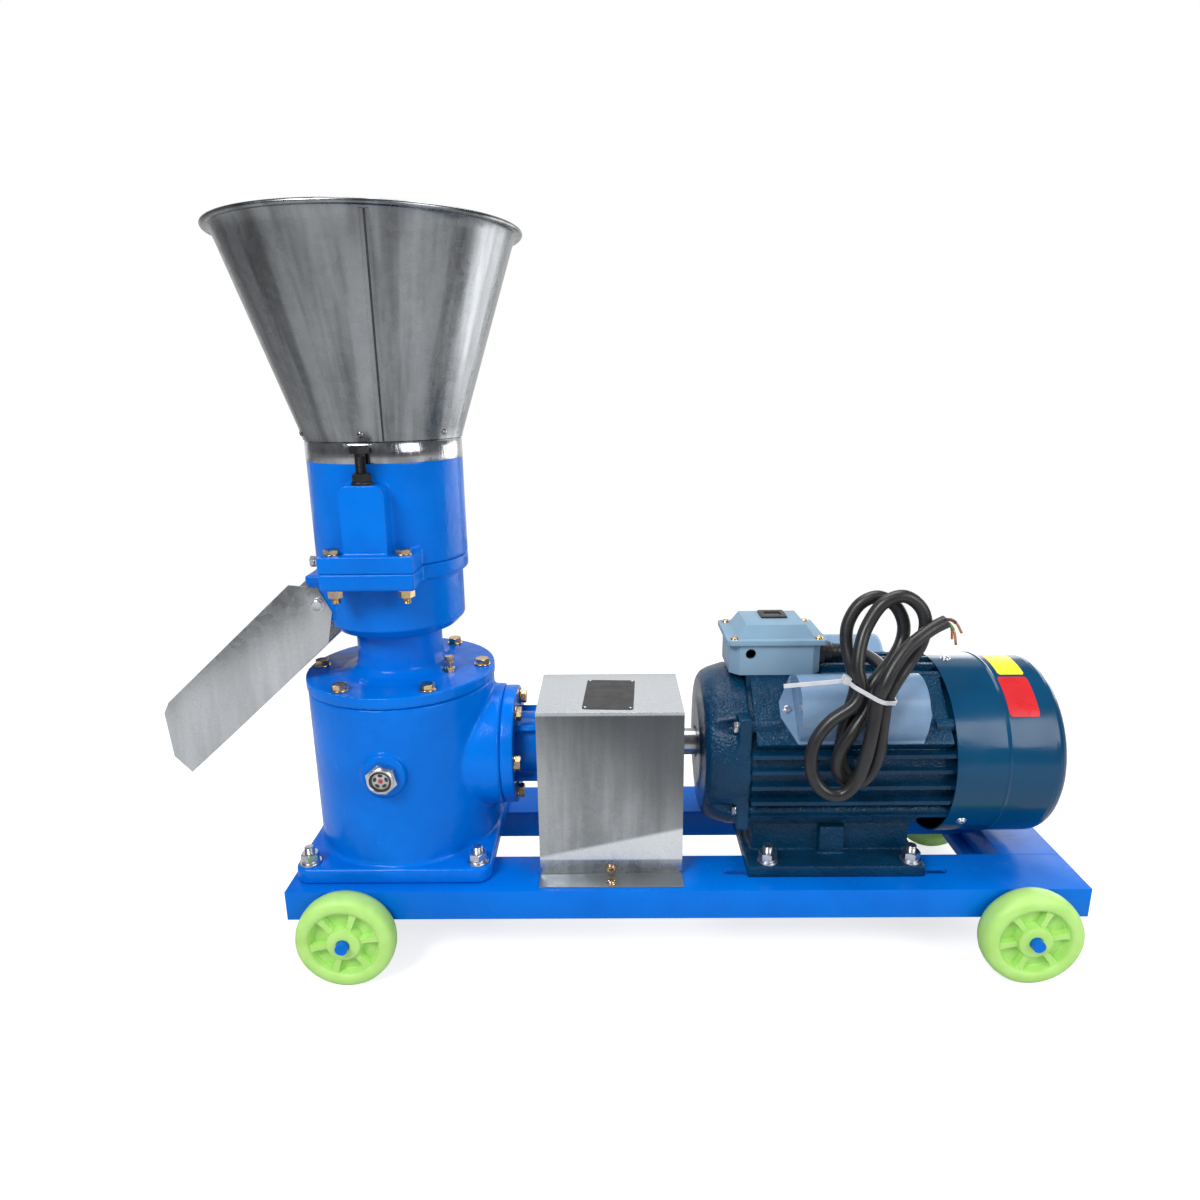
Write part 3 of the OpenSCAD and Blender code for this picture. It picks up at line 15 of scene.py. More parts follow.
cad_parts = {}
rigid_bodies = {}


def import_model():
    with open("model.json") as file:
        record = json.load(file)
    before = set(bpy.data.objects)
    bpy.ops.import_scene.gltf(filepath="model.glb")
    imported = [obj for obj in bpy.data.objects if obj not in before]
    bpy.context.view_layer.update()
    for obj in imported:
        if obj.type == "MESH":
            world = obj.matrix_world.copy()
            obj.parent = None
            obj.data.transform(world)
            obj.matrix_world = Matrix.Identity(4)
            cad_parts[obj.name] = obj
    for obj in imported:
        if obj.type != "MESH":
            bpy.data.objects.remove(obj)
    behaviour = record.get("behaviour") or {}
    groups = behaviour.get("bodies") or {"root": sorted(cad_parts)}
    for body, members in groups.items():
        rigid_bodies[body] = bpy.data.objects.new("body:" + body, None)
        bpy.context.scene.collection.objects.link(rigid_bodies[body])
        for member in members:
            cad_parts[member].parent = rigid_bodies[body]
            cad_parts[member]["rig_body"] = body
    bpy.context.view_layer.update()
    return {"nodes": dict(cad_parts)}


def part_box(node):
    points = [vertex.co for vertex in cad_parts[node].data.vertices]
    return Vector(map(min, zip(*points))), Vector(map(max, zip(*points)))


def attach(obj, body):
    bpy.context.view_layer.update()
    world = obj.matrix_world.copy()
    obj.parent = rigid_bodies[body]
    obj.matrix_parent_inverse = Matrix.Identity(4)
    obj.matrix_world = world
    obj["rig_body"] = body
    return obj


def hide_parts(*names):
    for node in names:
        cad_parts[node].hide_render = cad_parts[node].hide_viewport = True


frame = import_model()

# %% [markdown]
# Every place below is given the way a fitter would give it: in millimetres from the left end of the
# welded frame, from its front edge and from the top of its rails. One function turns that into metres.

# %% Where the machine's own corner lies
MM = 0.001
rail_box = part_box("chassis_frame")
CORNER = Vector((rail_box[0][0], rail_box[0][1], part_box("gearbox_housing")[0][2]))


def at(x, y, z):
    """A place in millimetres from the machine's corner, as metres."""
    return CORNER + Vector((x, y, z)) * MM


print("corner of the frame at", tuple(round(c, 4) for c in CORNER))

# %% [markdown]
# The camera stands a little under 0.7 m in front of the machine and looks down on it by fifteen degrees.
# Its matrix is put together from the three turns, so that each number keeps its plain meaning.

# %% Camera
SENSOR = 36.0
camera_data = bpy.data.cameras.new("camera")
camera_data.sensor_width = SENSOR
camera_data.lens = 23.871
camera_data.clip_start = 0.01
camera_data.clip_end = 60
camera = bpy.data.objects.new("camera", camera_data)
turn = Matrix.Rotation(math.radians(0.648), 4, "Z")
tilt = Matrix.Rotation(math.radians(90 - 14.933), 4, "X")
roll = Matrix.Rotation(math.radians(-0.652), 4, "Z")
camera.matrix_world = Matrix.Translation(at(320.04, -676.07, 473.98)) @ turn @ tilt @ roll
bpy.context.collection.objects.link(camera)
bpy.context.scene.camera = camera
print("camera", tuple(round(c, 3) for c in camera.location), "lens", round(camera_data.lens, 2))

# %% [markdown]
# The power cord comes next, because its route is fixed by the frame. It leaves the gland of the terminal
# box, is folded into a short hank of three lower and two upper loops, and ends stripped and bare. The
# points are joined by the same smooth curve as in the frame, only much finer.

# %% The cord's route
CORD_ROUTE = [
    (546.2, 98, 211.5), (552, 98, 211.5), (559, 98, 211.5), (571, 91, 213), (579, 72, 213), (582, 50, 212),
    (581, 32, 209), (575, 16, 201), (570, 9, 189), (571, 7, 174), (572, 7, 156), (571, 7, 138), (565, 7, 124),
    (556, 7, 117), (546, 7, 118), (538, 7, 128), (535, 7, 145), (537, 7, 166), (542, 8.5, 188), (546, 11, 207),
    (542, 17, 226), (539, 25, 244), (541, 30, 262), (551, 32, 279), (567, 32, 286), (583, 32, 278),
    (592, 31, 262), (591, 28, 245), (581, 21, 229), (567, 14, 215), (558, 10, 202),
    (554, 1, 188), (542, -6, 171), (531, -7, 151), (529, -7, 133), (538, -7, 120), (552, -7, 120),
    (562, -7, 134), (566, -6, 155), (568, -5, 180), (570, -4, 200),
    (580, 1, 217), (592, 7, 232), (602, 11, 248), (606, 15, 266), (600, 17, 281), (585, 18, 290),
    (567, 18, 283), (554, 15, 264), (547, 9, 246), (544, 2, 227), (547, -3, 210),
    (540, -6, 195), (520, -7, 180), (507, -9, 162), (503, -12, 142), (507, -15, 125), (518, -18, 114),
    (532, -19.5, 114), (543, -20, 127), (549, -20, 146), (553, -19, 168), (556, -17, 188),
    (558, -15, 204), (563, -15, 218), (571, -11, 233), (583, -6, 248), (596, -2, 258), (608, 2, 265),
    (619, 4, 270),
]
CORE_ROUTES = [
    [(617.6, 4, 271.8), (624, 4, 271.5), (630, 5, 267), (635, 6, 259)],
    [(617.6, 5.6, 268.8), (623, 6.5, 267.5), (627, 8.5, 262), (629, 10, 252)],
    [(617.6, 2.4, 268.8), (622, 1.5, 267.5), (626, 0, 261), (628, -1, 250)],
]
CORD_RADIUS = 6 * MM


def smooth_line(points, steps=8):
    """Catmull-Rom points through a list of places in millimetres, as metres."""
    p = [at(*point) for point in points]
    line = []
    for i in range(len(p) - 1):
        a, b, c, d = p[max(i - 1, 0)], p[i], p[i + 1], p[min(i + 2, len(p) - 1)]
        for k in range(steps):
            t = k / steps
            line.append(0.5 * (2 * b + (c - a) * t + (2 * a - 5 * b + 4 * c - d) * t * t
                               + (3 * b - a - 3 * c + d) * t ** 3))
    return line + [p[-1]]


def length_of(line):
    return sum((b - a).length for a, b in zip(line, line[1:]))


def swept(name, line, radius, resolution=5):
    """A round curve object along a line of places."""
    data = bpy.data.curves.new(name, "CURVE")
    data.dimensions = "3D"
    spline = data.splines.new("POLY")
    spline.points.add(len(line) - 1)
    for point, place in zip(spline.points, line):
        point.co = (*place, 1)
    data.bevel_depth = radius
    data.bevel_resolution = resolution
    data.use_fill_caps = True
    piece = bpy.data.objects.new(name, data)
    bpy.context.collection.objects.link(piece)
    return piece


cord_line = smooth_line(CORD_ROUTE)
cord = swept("power_cord_sheath", cord_line, CORD_RADIUS)
cores = [swept(f"cord_core_{i}", smooth_line(route, 6), 1.1 * MM, 3) for i, route in enumerate(CORE_ROUTES)]
print("cord", round(length_of(cord_line), 3), "m long")

# %% [markdown]
# Shader maths reads best as ordinary arithmetic. A Signal is one output of a node, and Python's operators
# on it add the Math nodes; a Finish is one material that is being put together.

# %% Writing shaders as arithmetic


class Signal:
    """One output of a shader node that Python's operators work on."""

    def __init__(self, finish, socket):
        self.finish = finish
        self.socket = socket

    def _maths(self, operation, first, second):
        return self.finish.node("ShaderNodeMath", {"operation": operation}, {0: first, 1: second})[0]

    def __add__(self, other):
        return self._maths("ADD", self, other)

    def __sub__(self, other):
        return self._maths("SUBTRACT", self, other)

    def __rsub__(self, other):
        return self._maths("SUBTRACT", other, self)

    def __mul__(self, other):
        return self._maths("MULTIPLY", self, other)

    __radd__ = __add__
    __rmul__ = __mul__


class Outputs:
    """The outputs of a node, by number or name."""

    def __init__(self, finish, node):
        self.finish = finish
        self.node = node

    def __getitem__(self, key):
        return Signal(self.finish, self.node.outputs[key])


class Finish:
    """One material, or the world, and its node tree."""

    def __init__(self, name, block=None):
        self.material = block or bpy.data.materials.new(name)
        self.material.use_nodes = True
        self.tree = self.material.node_tree
        self.tree.nodes.clear()
        self.place = self.node("ShaderNodeTexCoord")["Object"]

    def node(self, kind, settings=None, sockets=None):
        """Adds a node, first its settings, then the values or links of its sockets."""
        node = self.tree.nodes.new(kind)
        for key, value in (settings or {}).items():
            setattr(node, key, value)
        for key, value in (sockets or {}).items():
            if isinstance(value, Signal):
                self.tree.links.new(value.socket, node.inputs[key])
            else:
                node.inputs[key].default_value = value
        return Outputs(self, node)

    def noise(self, size, detail=2.0, rough=0.5, stretch=(1, 1, 1)):
        """Soft noise whose blotches are about size metres wide."""
        place = self.place
        if stretch != (1, 1, 1):
            place = self.node("ShaderNodeMapping", None, {"Vector": place, "Scale": stretch})[0]
        sockets = {"Vector": place, "Scale": 1 / size, "Detail": detail, "Roughness": rough}
        return self.node("ShaderNodeTexNoise", None, sockets)["Fac"]

    def cells(self, size):
        """A random colour for each cell of a pattern about size metres wide."""
        return self.node("ShaderNodeTexVoronoi", None, {"Vector": self.place, "Scale": 1 / size})["Color"]

    def between(self, signal, low, high, to_low=0.0, to_high=1.0):
        """Turns low to high into to_low to to_high, smoothly, and stops there."""
        sockets = {"Value": signal, 1: low, 2: high, 3: to_low, 4: to_high}
        return self.node("ShaderNodeMapRange", {"interpolation_type": "SMOOTHSTEP"}, sockets)[0]

    def mixed(self, amount, colour, other):
        """The first colour where amount is 0, the other where it is 1."""
        pair = [(*c, 1) if isinstance(c, tuple) else c for c in (colour, other)]
        return self.node("ShaderNodeMix", {"data_type": "RGBA"}, {0: amount, 6: pair[0], 7: pair[1]})[2]

    def bumps(self, height, depth, under=None):
        """A normal for a height signal of that depth in metres."""
        sockets = {"Height": height, "Distance": depth, "Strength": 1.0}
        if under is not None:
            sockets["Normal"] = under
        return self.node("ShaderNodeBump", None, sockets)[0]

    def surface(self, colour, roughness, metallic=0.0, normal=None, **constants):
        """The finished surface: what varies comes in as signals, the rest as numbers."""
        sockets = {"Base Color": (*colour, 1) if isinstance(colour, tuple) else colour}
        sockets.update({"Roughness": roughness, "Metallic": metallic})
        if normal is not None:
            sockets["Normal"] = normal
        sockets.update({key.replace("_", " "): value for key, value in constants.items()})
        shader = self.node("ShaderNodeBsdfPrincipled", None, sockets)[0]
        self.node("ShaderNodeOutputMaterial", None, {"Surface": shader})
        return self.material


print("shader helpers ready")

# %% [markdown]
# Enamel on iron castings: thick gloss paint that softens the sand texture under it. Two sizes of bump
# make the casting's waviness and the paint's fine orange peel.

# %% Enamels


def enamel(name, dark, light, wave, peel, roughness, index=1.2):
    """Gloss paint over metal. Wave and peel are the depths of its two textures in metres."""
    f = Finish(name)
    tone = f.between(f.noise(0.07, 3), 0.3, 0.7)
    colour = f.mixed(tone, dark, light)
    texture = f.bumps(f.noise(0.0022, 2), peel, f.bumps(f.noise(0.016, 3), wave))
    rough = f.between(f.noise(0.03, 3), 0.3, 0.75, roughness, roughness + 0.12)
    return f.surface(colour, rough, 0.0, texture, IOR=index, Coat_Weight=0.06, Coat_Roughness=0.06)


casting_blue = enamel("blue_enamel_on_casting", (0.0, 0.135, 0.6), (0.0, 0.165, 0.7), 0.0009, 0.00012, 0.16)
plate_blue = enamel("blue_enamel_on_plate", (0.0, 0.135, 0.61), (0.0, 0.16, 0.69), 0.0002, 0.00006, 0.18)
motor_navy = enamel("navy_enamel_on_casting", (0.001, 0.026, 0.066), (0.002, 0.042, 0.1), 0.0022, 0.0011,
                    0.08, 1.32)
cowl_navy = enamel("navy_enamel_on_sheet", (0.001, 0.045, 0.11), (0.002, 0.055, 0.13), 0.0001, 0.00006,
                   0.12, 1.36)
box_grey = enamel("grey_blue_paint", (0.20, 0.32, 0.43), (0.235, 0.365, 0.485), 0.0002, 0.00005, 0.34)
print("enamels:", casting_blue.name, plate_blue.name, motor_navy.name, cowl_navy.name, box_grey.name)

# %% [markdown]
# Bare and plated metals differ mostly in tint, gloss and grain. One function makes them all: the grain is
# a noise stretched along one axis, and blotches of the plating vary both tint and gloss.

# %% Metals


def metal(name, tint, other, roughness, grain=0.0004, stretch=(1, 1, 1), blotch=0.012, metallic=1.0):
    """Bare or plated metal whose tint and gloss vary in blotches."""
    f = Finish(name)
    patches = f.between(f.noise(blotch, 4), 0.35, 0.7)
    colour = f.mixed(patches, tint, other)
    lines = f.noise(grain, 2, 0.6, stretch)
    rough = f.between(lines, 0.2, 0.8, roughness, roughness + 0.16)
    return f.surface(colour, rough, metallic, f.bumps(lines, grain * 0.08))


bright_zinc = metal("bright_zinc", (0.72, 0.73, 0.75), (0.56, 0.57, 0.6), 0.2)
yellow_zinc = metal("yellow_zinc", (0.78, 0.56, 0.24), (0.5, 0.38, 0.36), 0.16, blotch=0.004)
black_oxide = metal("black_oxide", (0.03, 0.03, 0.034), (0.05, 0.048, 0.046), 0.34, metallic=0.8)
turned_steel = metal("turned_steel", (0.55, 0.56, 0.58), (0.45, 0.45, 0.47), 0.2, stretch=(4, 1, 1))
gear_steel = metal("gear_steel", (0.42, 0.42, 0.43), (0.3, 0.3, 0.31), 0.3)
coupling_iron = metal("coupling_iron", (0.1, 0.1, 0.11), (0.07, 0.07, 0.075), 0.45, blotch=0.004,
                      metallic=0.7)
bare_copper = metal("bare_copper", (0.75, 0.36, 0.18), (0.5, 0.22, 0.1), 0.3, stretch=(0.2, 1, 1))


def galvanised(name, light, dark, axis=None, painted_light_box=None):
    """Zinc-coated sheet: faint crystal cells, roller lines that also paint streaks of reflection, and scuffs. On
    a cone the lines run up round its axis. The last argument is the box of a cover that gets painted light: a
    lighter top, a painted dark reflection at its upper right, a painted bright reflection along its foot and a
    flange in painted shade."""
    f = Finish(name)
    parts = f.node("ShaderNodeSeparateXYZ", None, {"Vector": f.place})
    across, up = parts["X"], parts["Z"]
    if axis:
        sockets = {0: parts["Y"] - axis[1], 1: parts["X"] - axis[0]}
        across = f.node("ShaderNodeMath", {"operation": "ARCTAN2"}, sockets)[0] * 0.11
    rolled = f.node("ShaderNodeCombineXYZ", None, {"X": across, "Y": 0.0, "Z": up * 0.12})[0]
    sockets = {"Vector": rolled, "Scale": 34, "Detail": 3.0, "Roughness": 0.6}
    # The bands are roller lines, and they also paint streaks of reflection along the sheet.
    bands = f.node("ShaderNodeTexNoise", None, sockets)["Fac"]
    cell = f.node("ShaderNodeSeparateColor", None, {"Color": f.cells(0.006)})[0]
    scuffs = f.between(f.noise(0.004, 5, 0.7), 0.6, 0.72)
    tone = f.between(bands, 0.36, 0.64) * 0.7 + cell * 0.16 + f.between(f.noise(0.05, 3), 0.3, 0.7) * 0.14
    colour = f.mixed(tone, dark, light)
    rough = f.between(cell, 0.0, 1.0, 0.24, 0.31) + scuffs * 0.12
    if painted_light_box:
        low, high = painted_light_box
        # Painted light: the cover's top is painted lighter than its front.
        front = f.between(up, high.z - 0.004, high.z - 0.002, 1.0, 0.0)
        # Painted dark reflection that grows towards the upper right of the front.
        slant = (across - low.x) * 5 + (up - low.z) * 6
        colour = f.mixed(front, (0.72, 0.75, 0.78), colour)
        colour = f.mixed(f.between(slant, 0.6, 1.45) * front * 0.85, colour, (0.1, 0.11, 0.12))
        # Painted bright reflection in a band along the foot of the front.
        line = up - (across - low.x) * 0.22 - low.z
        patch = f.between(line, 0.018, 0.023, 1.0, 0.0) * f.between(up - low.z, 0.0165, 0.0185)
        colour = f.mixed(patch, colour, (0.8, 0.83, 0.85))
        # The foot flange is painted darker as painted shade, and it is also made rougher.
        flange = f.between(up - low.z, 0.001, 0.003, 1.0, 0.0)
        colour = f.mixed(flange, colour, (0.32, 0.35, 0.37))
        rough = rough + flange * 0.25
    normal = f.bumps(f.noise(0.06, 2), 0.00025, f.bumps(f.noise(0.0012, 3), 0.000007))
    return f.surface(colour, rough, 1.0, normal)


MILL = (103.0, 112.0)
mill_axis = at(*MILL, 0)
# One zinc sheet in three brightnesses: the chute keeps the plain tint, while the guard's darker tint and the
# hopper cone's much darker one paint the dark surroundings these sheets reflect.
sheet_cone = galvanised("galvanised_cone", (0.36, 0.375, 0.39), (0.13, 0.135, 0.14), mill_axis)
sheet_guard = galvanised("galvanised_guard", (0.5, 0.52, 0.53), (0.27, 0.285, 0.29), None,
                         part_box("guard_cover"))
collar_sheet = metal("galvanised_collar", (0.5, 0.51, 0.53), (0.26, 0.27, 0.29), 0.1, 0.002, (1, 1, 0.2),
                     0.02)
galvanised_sheet = galvanised("galvanised_sheet", (0.66, 0.68, 0.7), (0.5, 0.52, 0.535))
print("metals ready")

# %% [markdown]
# Moulded parts: the wheels are a pale, slightly translucent green plastic, the capacitor covers a milky
# clear one, and the cord a dull black rubber.

# %% Plastics and rubber


def moulded(name, colour, other, roughness, texture=0.00003, size=0.0012, **constants):
    """Plastic or rubber with a fine mould texture."""
    f = Finish(name)
    tone = f.between(f.noise(0.02, 3), 0.3, 0.7)
    rough = f.between(f.noise(0.012, 3), 0.3, 0.7, roughness, roughness + 0.12)
    normal = f.bumps(f.noise(size, 2), texture)
    return f.surface(f.mixed(tone, colour, other), rough, 0.0, normal, **constants)


wheel_green = moulded("wheel_plastic", (0.41, 0.72, 0.17), (0.47, 0.78, 0.22), 0.38,
                      Subsurface_Weight=0.25, Subsurface_Scale=0.006)
cover_clear = moulded("clear_cover", (0.22, 0.36, 0.56), (0.27, 0.42, 0.62), 0.14, Alpha=0.6)
black_plastic = moulded("black_plastic", (0.014, 0.014, 0.016), (0.022, 0.022, 0.024), 0.35)
cord_rubber = moulded("cord_rubber", (0.012, 0.012, 0.013), (0.02, 0.02, 0.021), 0.3, 0.00008, 0.0016)
spider_rubber = moulded("spider_rubber", (0.45, 0.03, 0.02), (0.52, 0.04, 0.03), 0.4)
tie_nylon = moulded("tie_nylon", (0.6, 0.62, 0.64), (0.5, 0.52, 0.55), 0.3, Subsurface_Weight=0.2,
                    Subsurface_Scale=0.002)
capacitor_shell = moulded("capacitor_shell", (0.7, 0.7, 0.68), (0.62, 0.62, 0.6), 0.3)
sight_plastic = moulded("sight_plastic", (0.02, 0.02, 0.024), (0.03, 0.03, 0.034), 0.1)
print("plastics ready")

# %% [markdown]
# Each part of the frame gets the finish that its maker gives it. The table names a part once.

# %% Dress the frame's parts
DRESS = {
    casting_blue: ["gearbox_housing", "lower_housing", "upper_housing", "input_housing"],
    plate_blue: ["chassis_frame", "axles"],
    motor_navy: ["motor_housing", "drive_end_shield", "rear_end_shield", "motor_cradle"],
    cowl_navy: ["fan_cover"],
    box_grey: ["terminal_box", "terminal_lid"],
    galvanised_sheet: ["discharge_chute"],
    sheet_cone: ["hopper"],
    sheet_guard: ["guard_cover"],
    bright_zinc: ["mounting_bolts", "chute_screws", "motor_screws", "sight_glass_nut", "cutter_screw"],
    yellow_zinc: ["gearbox_cover_bolts", "clamp_bolts", "input_housing_bolts", "guard_screws", "lid_screws",
                  "breather_plug"],
    black_oxide: ["front_adjusting_bolt", "rear_adjusting_bolt", "adjusting_lock_nuts"],
    turned_steel: ["main_shaft", "die_nut", "discharge_disc", "ball_bearings", "roller_shaft", "input_shaft",
                   "motor_rotor", "motor_stator"],
    gear_steel: ["crown_gear", "bevel_pinion", "flat_die", "front_roller", "rear_roller"],
    coupling_iron: ["gearbox_coupling_hub", "motor_coupling_hub"],
    spider_rubber: ["coupling_spider"],
    wheel_green: ["front_left_wheel", "front_right_wheel", "rear_left_wheel", "rear_right_wheel"],
    black_plastic: ["cooling_fan", "lid_window_frame", "cable_gland"],
    cord_rubber: ["oil_seals", "power_cord"],
    bare_copper: ["cord_cores"],
    tie_nylon: ["cord_tie"],
    cover_clear: ["capacitor_covers"],
    capacitor_shell: ["capacitors"],
    sight_plastic: ["sight_glass_lens"],
}


def paint(piece, material):
    """Puts one material on a piece."""
    piece.data.materials.clear()
    piece.data.materials.append(material)


for material, names in DRESS.items():
    for name in names:
        paint(frame["nodes"][name], material)
CORD_FINISH = (cord_rubber, "power_cord", "black_rubber")
CORE_FINISH = (bare_copper, "cord_cores", "copper")
for strand, (material, node, slot) in zip([cord, *cores], [CORD_FINISH] + [CORE_FINISH] * len(cores)):
    paint(strand, material)
    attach(strand, "machine")
    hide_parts(node)
round(length_of(cord_line), 3)
print("dressed", sum(len(names) for names in DRESS.values()), "parts")

# %% [markdown]
# Small shapes are kept as two plain lists, corners in millimetres and faces, until they become a piece. A
# shape is a stack of loops: each loop of corners is joined to the next, and the two ends are closed.

# %% Shapes from stacked loops


def stacked(loops, closed=False):
    """Joins loops of corners in order. A closed stack joins its last loop to its first instead of capping."""
    steps = len(loops[0])
    corners = [Vector(corner) for loop in loops for corner in loop]
    faces = []
    for i in range(len(loops) if closed else len(loops) - 1):
        low, high = i * steps, (i + 1) % len(loops) * steps
        faces += [(low + k, low + (k + 1) % steps, high + (k + 1) % steps, high + k) for k in range(steps)]
    if not closed:
        last = (len(loops) - 1) * steps
        faces += [tuple(range(steps - 1, -1, -1)), tuple(range(last, last + steps))]
    return corners, faces


def loop(radius, height, steps=48):
    """A loop about Z. Radius and height are numbers, or functions of the angle."""
    corners = []
    for k in range(steps):
        angle = math.tau * k / steps
        r = radius(angle) if callable(radius) else radius
        z = height(angle) if callable(height) else height
        corners.append((r * math.cos(angle), r * math.sin(angle), z))
    return corners


def turned(profile, steps=48, closed=False):
    """A turned part from a profile of (radius, height)."""
    return stacked([loop(r, z, steps) for r, z in profile], closed)


def plate_loop(length, width, corner, height, inset=0.0):
    """A rectangle with round corners at a height."""
    places = []
    r = max(corner - inset, 0.05)
    for quarter, (sx, sy) in enumerate([(1, 1), (-1, 1), (-1, -1), (1, -1)]):
        for k in range(7):
            angle = math.pi / 2 * (quarter + k / 6)
            places.append((sx * (length / 2 - corner) + r * math.cos(angle),
                           sy * (width / 2 - corner) + r * math.sin(angle), height))
    return places


def plate(length, width, thick, corner=2.0, edge=0.3):
    """A flat plate with round corners and eased edges, standing on z = 0."""
    levels = [(edge, 0), (0, edge), (0, thick - edge), (edge, thick)]
    return stacked([plate_loop(length, width, corner, z, inset) for inset, z in levels])


def placed(shape, origin, toward=(0, 0, 1), spin=0.0):
    """The shape with its foot at origin and its Z axis pointing toward a direction."""
    turn = Vector(toward).to_track_quat("Z", "Y").to_matrix() @ Matrix.Rotation(math.radians(spin), 3, "Z")
    return [turn @ corner + Vector(origin) for corner in shape[0]], shape[1]


def joined(*shapes):
    """Several shapes as one."""
    corners, faces = [], []
    for shape in shapes:
        faces += [tuple(i + len(corners) for i in face) for face in shape[1]]
        corners += shape[0]
    return corners, faces


def pipe(line, radius, steps=16):
    """A round tube along a list of places. The radius may be a function of the share of its length."""
    line = [Vector(place) for place in line]
    loops, side = [], Vector((0.13, 0.21, 1))
    for i, place in enumerate(line):
        along = (line[min(i + 1, len(line) - 1)] - line[max(i - 1, 0)]).normalized()
        side = (side - along * side.dot(along)).normalized()
        other = along.cross(side)
        r = radius(i / (len(line) - 1)) if callable(radius) else radius
        ring = [place + r * (math.cos(math.tau * k / steps) * side + math.sin(math.tau * k / steps) * other)
                for k in range(steps)]
        loops.append(ring)
    return stacked(loops)


def finish_mesh(mesh, limit):
    """Merges doubles, turns faces outward and keeps edges sharper than limit degrees crisp."""
    cell = bmesh.new()
    cell.from_mesh(mesh)
    bmesh.ops.remove_doubles(cell, verts=cell.verts, dist=1e-6)
    bmesh.ops.recalc_face_normals(cell, faces=cell.faces)
    for face in cell.faces:
        face.smooth = True
    for edge in cell.edges:
        edge.smooth = not edge.is_manifold or edge.calc_face_angle(0) < math.radians(limit)
    cell.to_mesh(mesh)
    cell.free()


def shown(name, mesh, material, body, replaces=()):
    """Puts a finished mesh in the scene as a piece that rides on a body."""
    new = bpy.data.objects.new(name, mesh)
    bpy.context.collection.objects.link(new)
    paint(new, material)
    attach(new, body)
    if replaces:
        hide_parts(*replaces)
    return new


def piece(name, shape, material, body, slot=None, replaces=(), limit=35):
    """Makes a piece from a shape in millimetres."""
    mesh = bpy.data.meshes.new(name)
    mesh.from_pydata([at(*corner) for corner in shape[0]], [], shape[1])
    finish_mesh(mesh, limit)
    return shown(name, mesh, material, body, replaces)


print("shape helpers ready")

# %% [markdown]
# Castings come out of sand with soft edges, and their fillets fill with paint. The frame's sharp castings
# are copied, cut into fine even cells and smoothed, which rounds every edge and fills every corner a little.

# %% Castings with soft edges


def merged_copy(node):
    """A copy of a frame part's mesh with its doubled corners merged."""
    mesh = frame["nodes"][node].data.copy()
    mesh.name = node + "_copy"
    if mesh.has_custom_normals:
        mesh.normals_split_custom_set([(0, 0, 0)] * len(mesh.loops))
    cell = bmesh.new()
    cell.from_mesh(mesh)
    bmesh.ops.remove_doubles(cell, verts=cell.verts, dist=2e-6)
    bmesh.ops.recalc_face_normals(cell, faces=cell.faces)
    cell.to_mesh(mesh)
    cell.free()
    return mesh


def cast(node, cell_size, softness, material):
    """Stands a soft-edged casting in for a frame part."""
    helper = bpy.data.objects.new(node + "_helper", merged_copy(node))
    bpy.context.collection.objects.link(helper)
    remesh = helper.modifiers.new("cells", "REMESH")
    remesh.mode = "VOXEL"
    remesh.voxel_size = cell_size * MM * 1
    smooth = helper.modifiers.new("soften", "SMOOTH")
    smooth.factor = 0.5
    smooth.iterations = softness
    result = bpy.data.meshes.new_from_object(helper.evaluated_get(bpy.context.evaluated_depsgraph_get()))
    bpy.data.objects.remove(helper)
    result.name = node + "_casting"
    result.polygons.foreach_set("use_smooth", [True] * len(result.polygons))
    body = frame["nodes"][node]["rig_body"]
    casting = shown(node + "_casting", result, material, body, [node])
    print(node, "casting:", len(result.polygons), "faces")
    return casting


cast("upper_housing", 1.28, 3, casting_blue)
cast("lower_housing", 1.46, 3, casting_blue)
cast("gearbox_housing", 1.9, 6, casting_blue)
cast("input_housing", 1.2, 5, casting_blue)
cast("drive_end_shield", 1.5, 4, motor_navy)
cast("motor_cradle", 1.25, 2, motor_navy)

# %% [markdown]
# Sheet metal and welded bars keep straighter edges, so those parts only get a narrow rounding along their
# long edges. Flat faces are first joined again, because the frame's mesh is all triangles.

# %% Bars and sheets with eased edges


def eased(node, width, material, shortest=2.5, segments=2):
    """Stands a copy with rounded long edges in for a frame part."""
    mesh = merged_copy(node)
    cell = bmesh.new()
    cell.from_mesh(mesh)
    bmesh.ops.dissolve_limit(cell, angle_limit=math.radians(0.6), verts=cell.verts, edges=cell.edges)
    sharp = [edge for edge in cell.edges if edge.is_manifold and edge.calc_face_angle(0) > math.radians(28)
             and edge.calc_length() > shortest * MM]
    bmesh.ops.bevel(cell, geom=sharp, offset=width * MM, segments=segments, profile=0.6, affect="EDGES",
                    clamp_overlap=True)
    bmesh.ops.triangulate(cell, faces=[face for face in cell.faces if len(face.verts) > 4])
    cell.to_mesh(mesh)
    cell.free()
    finish_mesh(mesh, 20)
    mesh.name = node + "_eased"
    return shown(node + "_eased", mesh, material, frame["nodes"][node]["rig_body"], [node])


eased("chassis_frame", 0.9, plate_blue)
eased("motor_housing", 1.1, motor_navy)
eased("terminal_box", 1.0, box_grey)
eased("terminal_lid", 0.9, box_grey)
eased("guard_cover", 0.45, sheet_guard)
eased("discharge_chute", 0.4, galvanised_sheet)
print("eased edges done")

# %% [markdown]
# The hopper is one rolled cone of galvanised sheet. Its rim is rolled round a wire, its edges meet in a
# flattened seam, and a short collar that fits over the upper housing is riveted on.

# %% Hopper
COLLAR_FOOT, CONE_FOOT, RIM_TOP = 410.5, 429.5, 612.0
COLLAR_R, CONE_R, RIM_R, BEAD_R = 74.1, 133.5, 138.0, 2.2
RIVET_UP = 7


def cone_radius(height):
    """Outer radius of the hopper at a height."""
    share = (height - CONE_FOOT) / (RIM_TOP - CONE_FOOT)
    return COLLAR_R + (CONE_R - COLLAR_R) * max(share, 0.0)


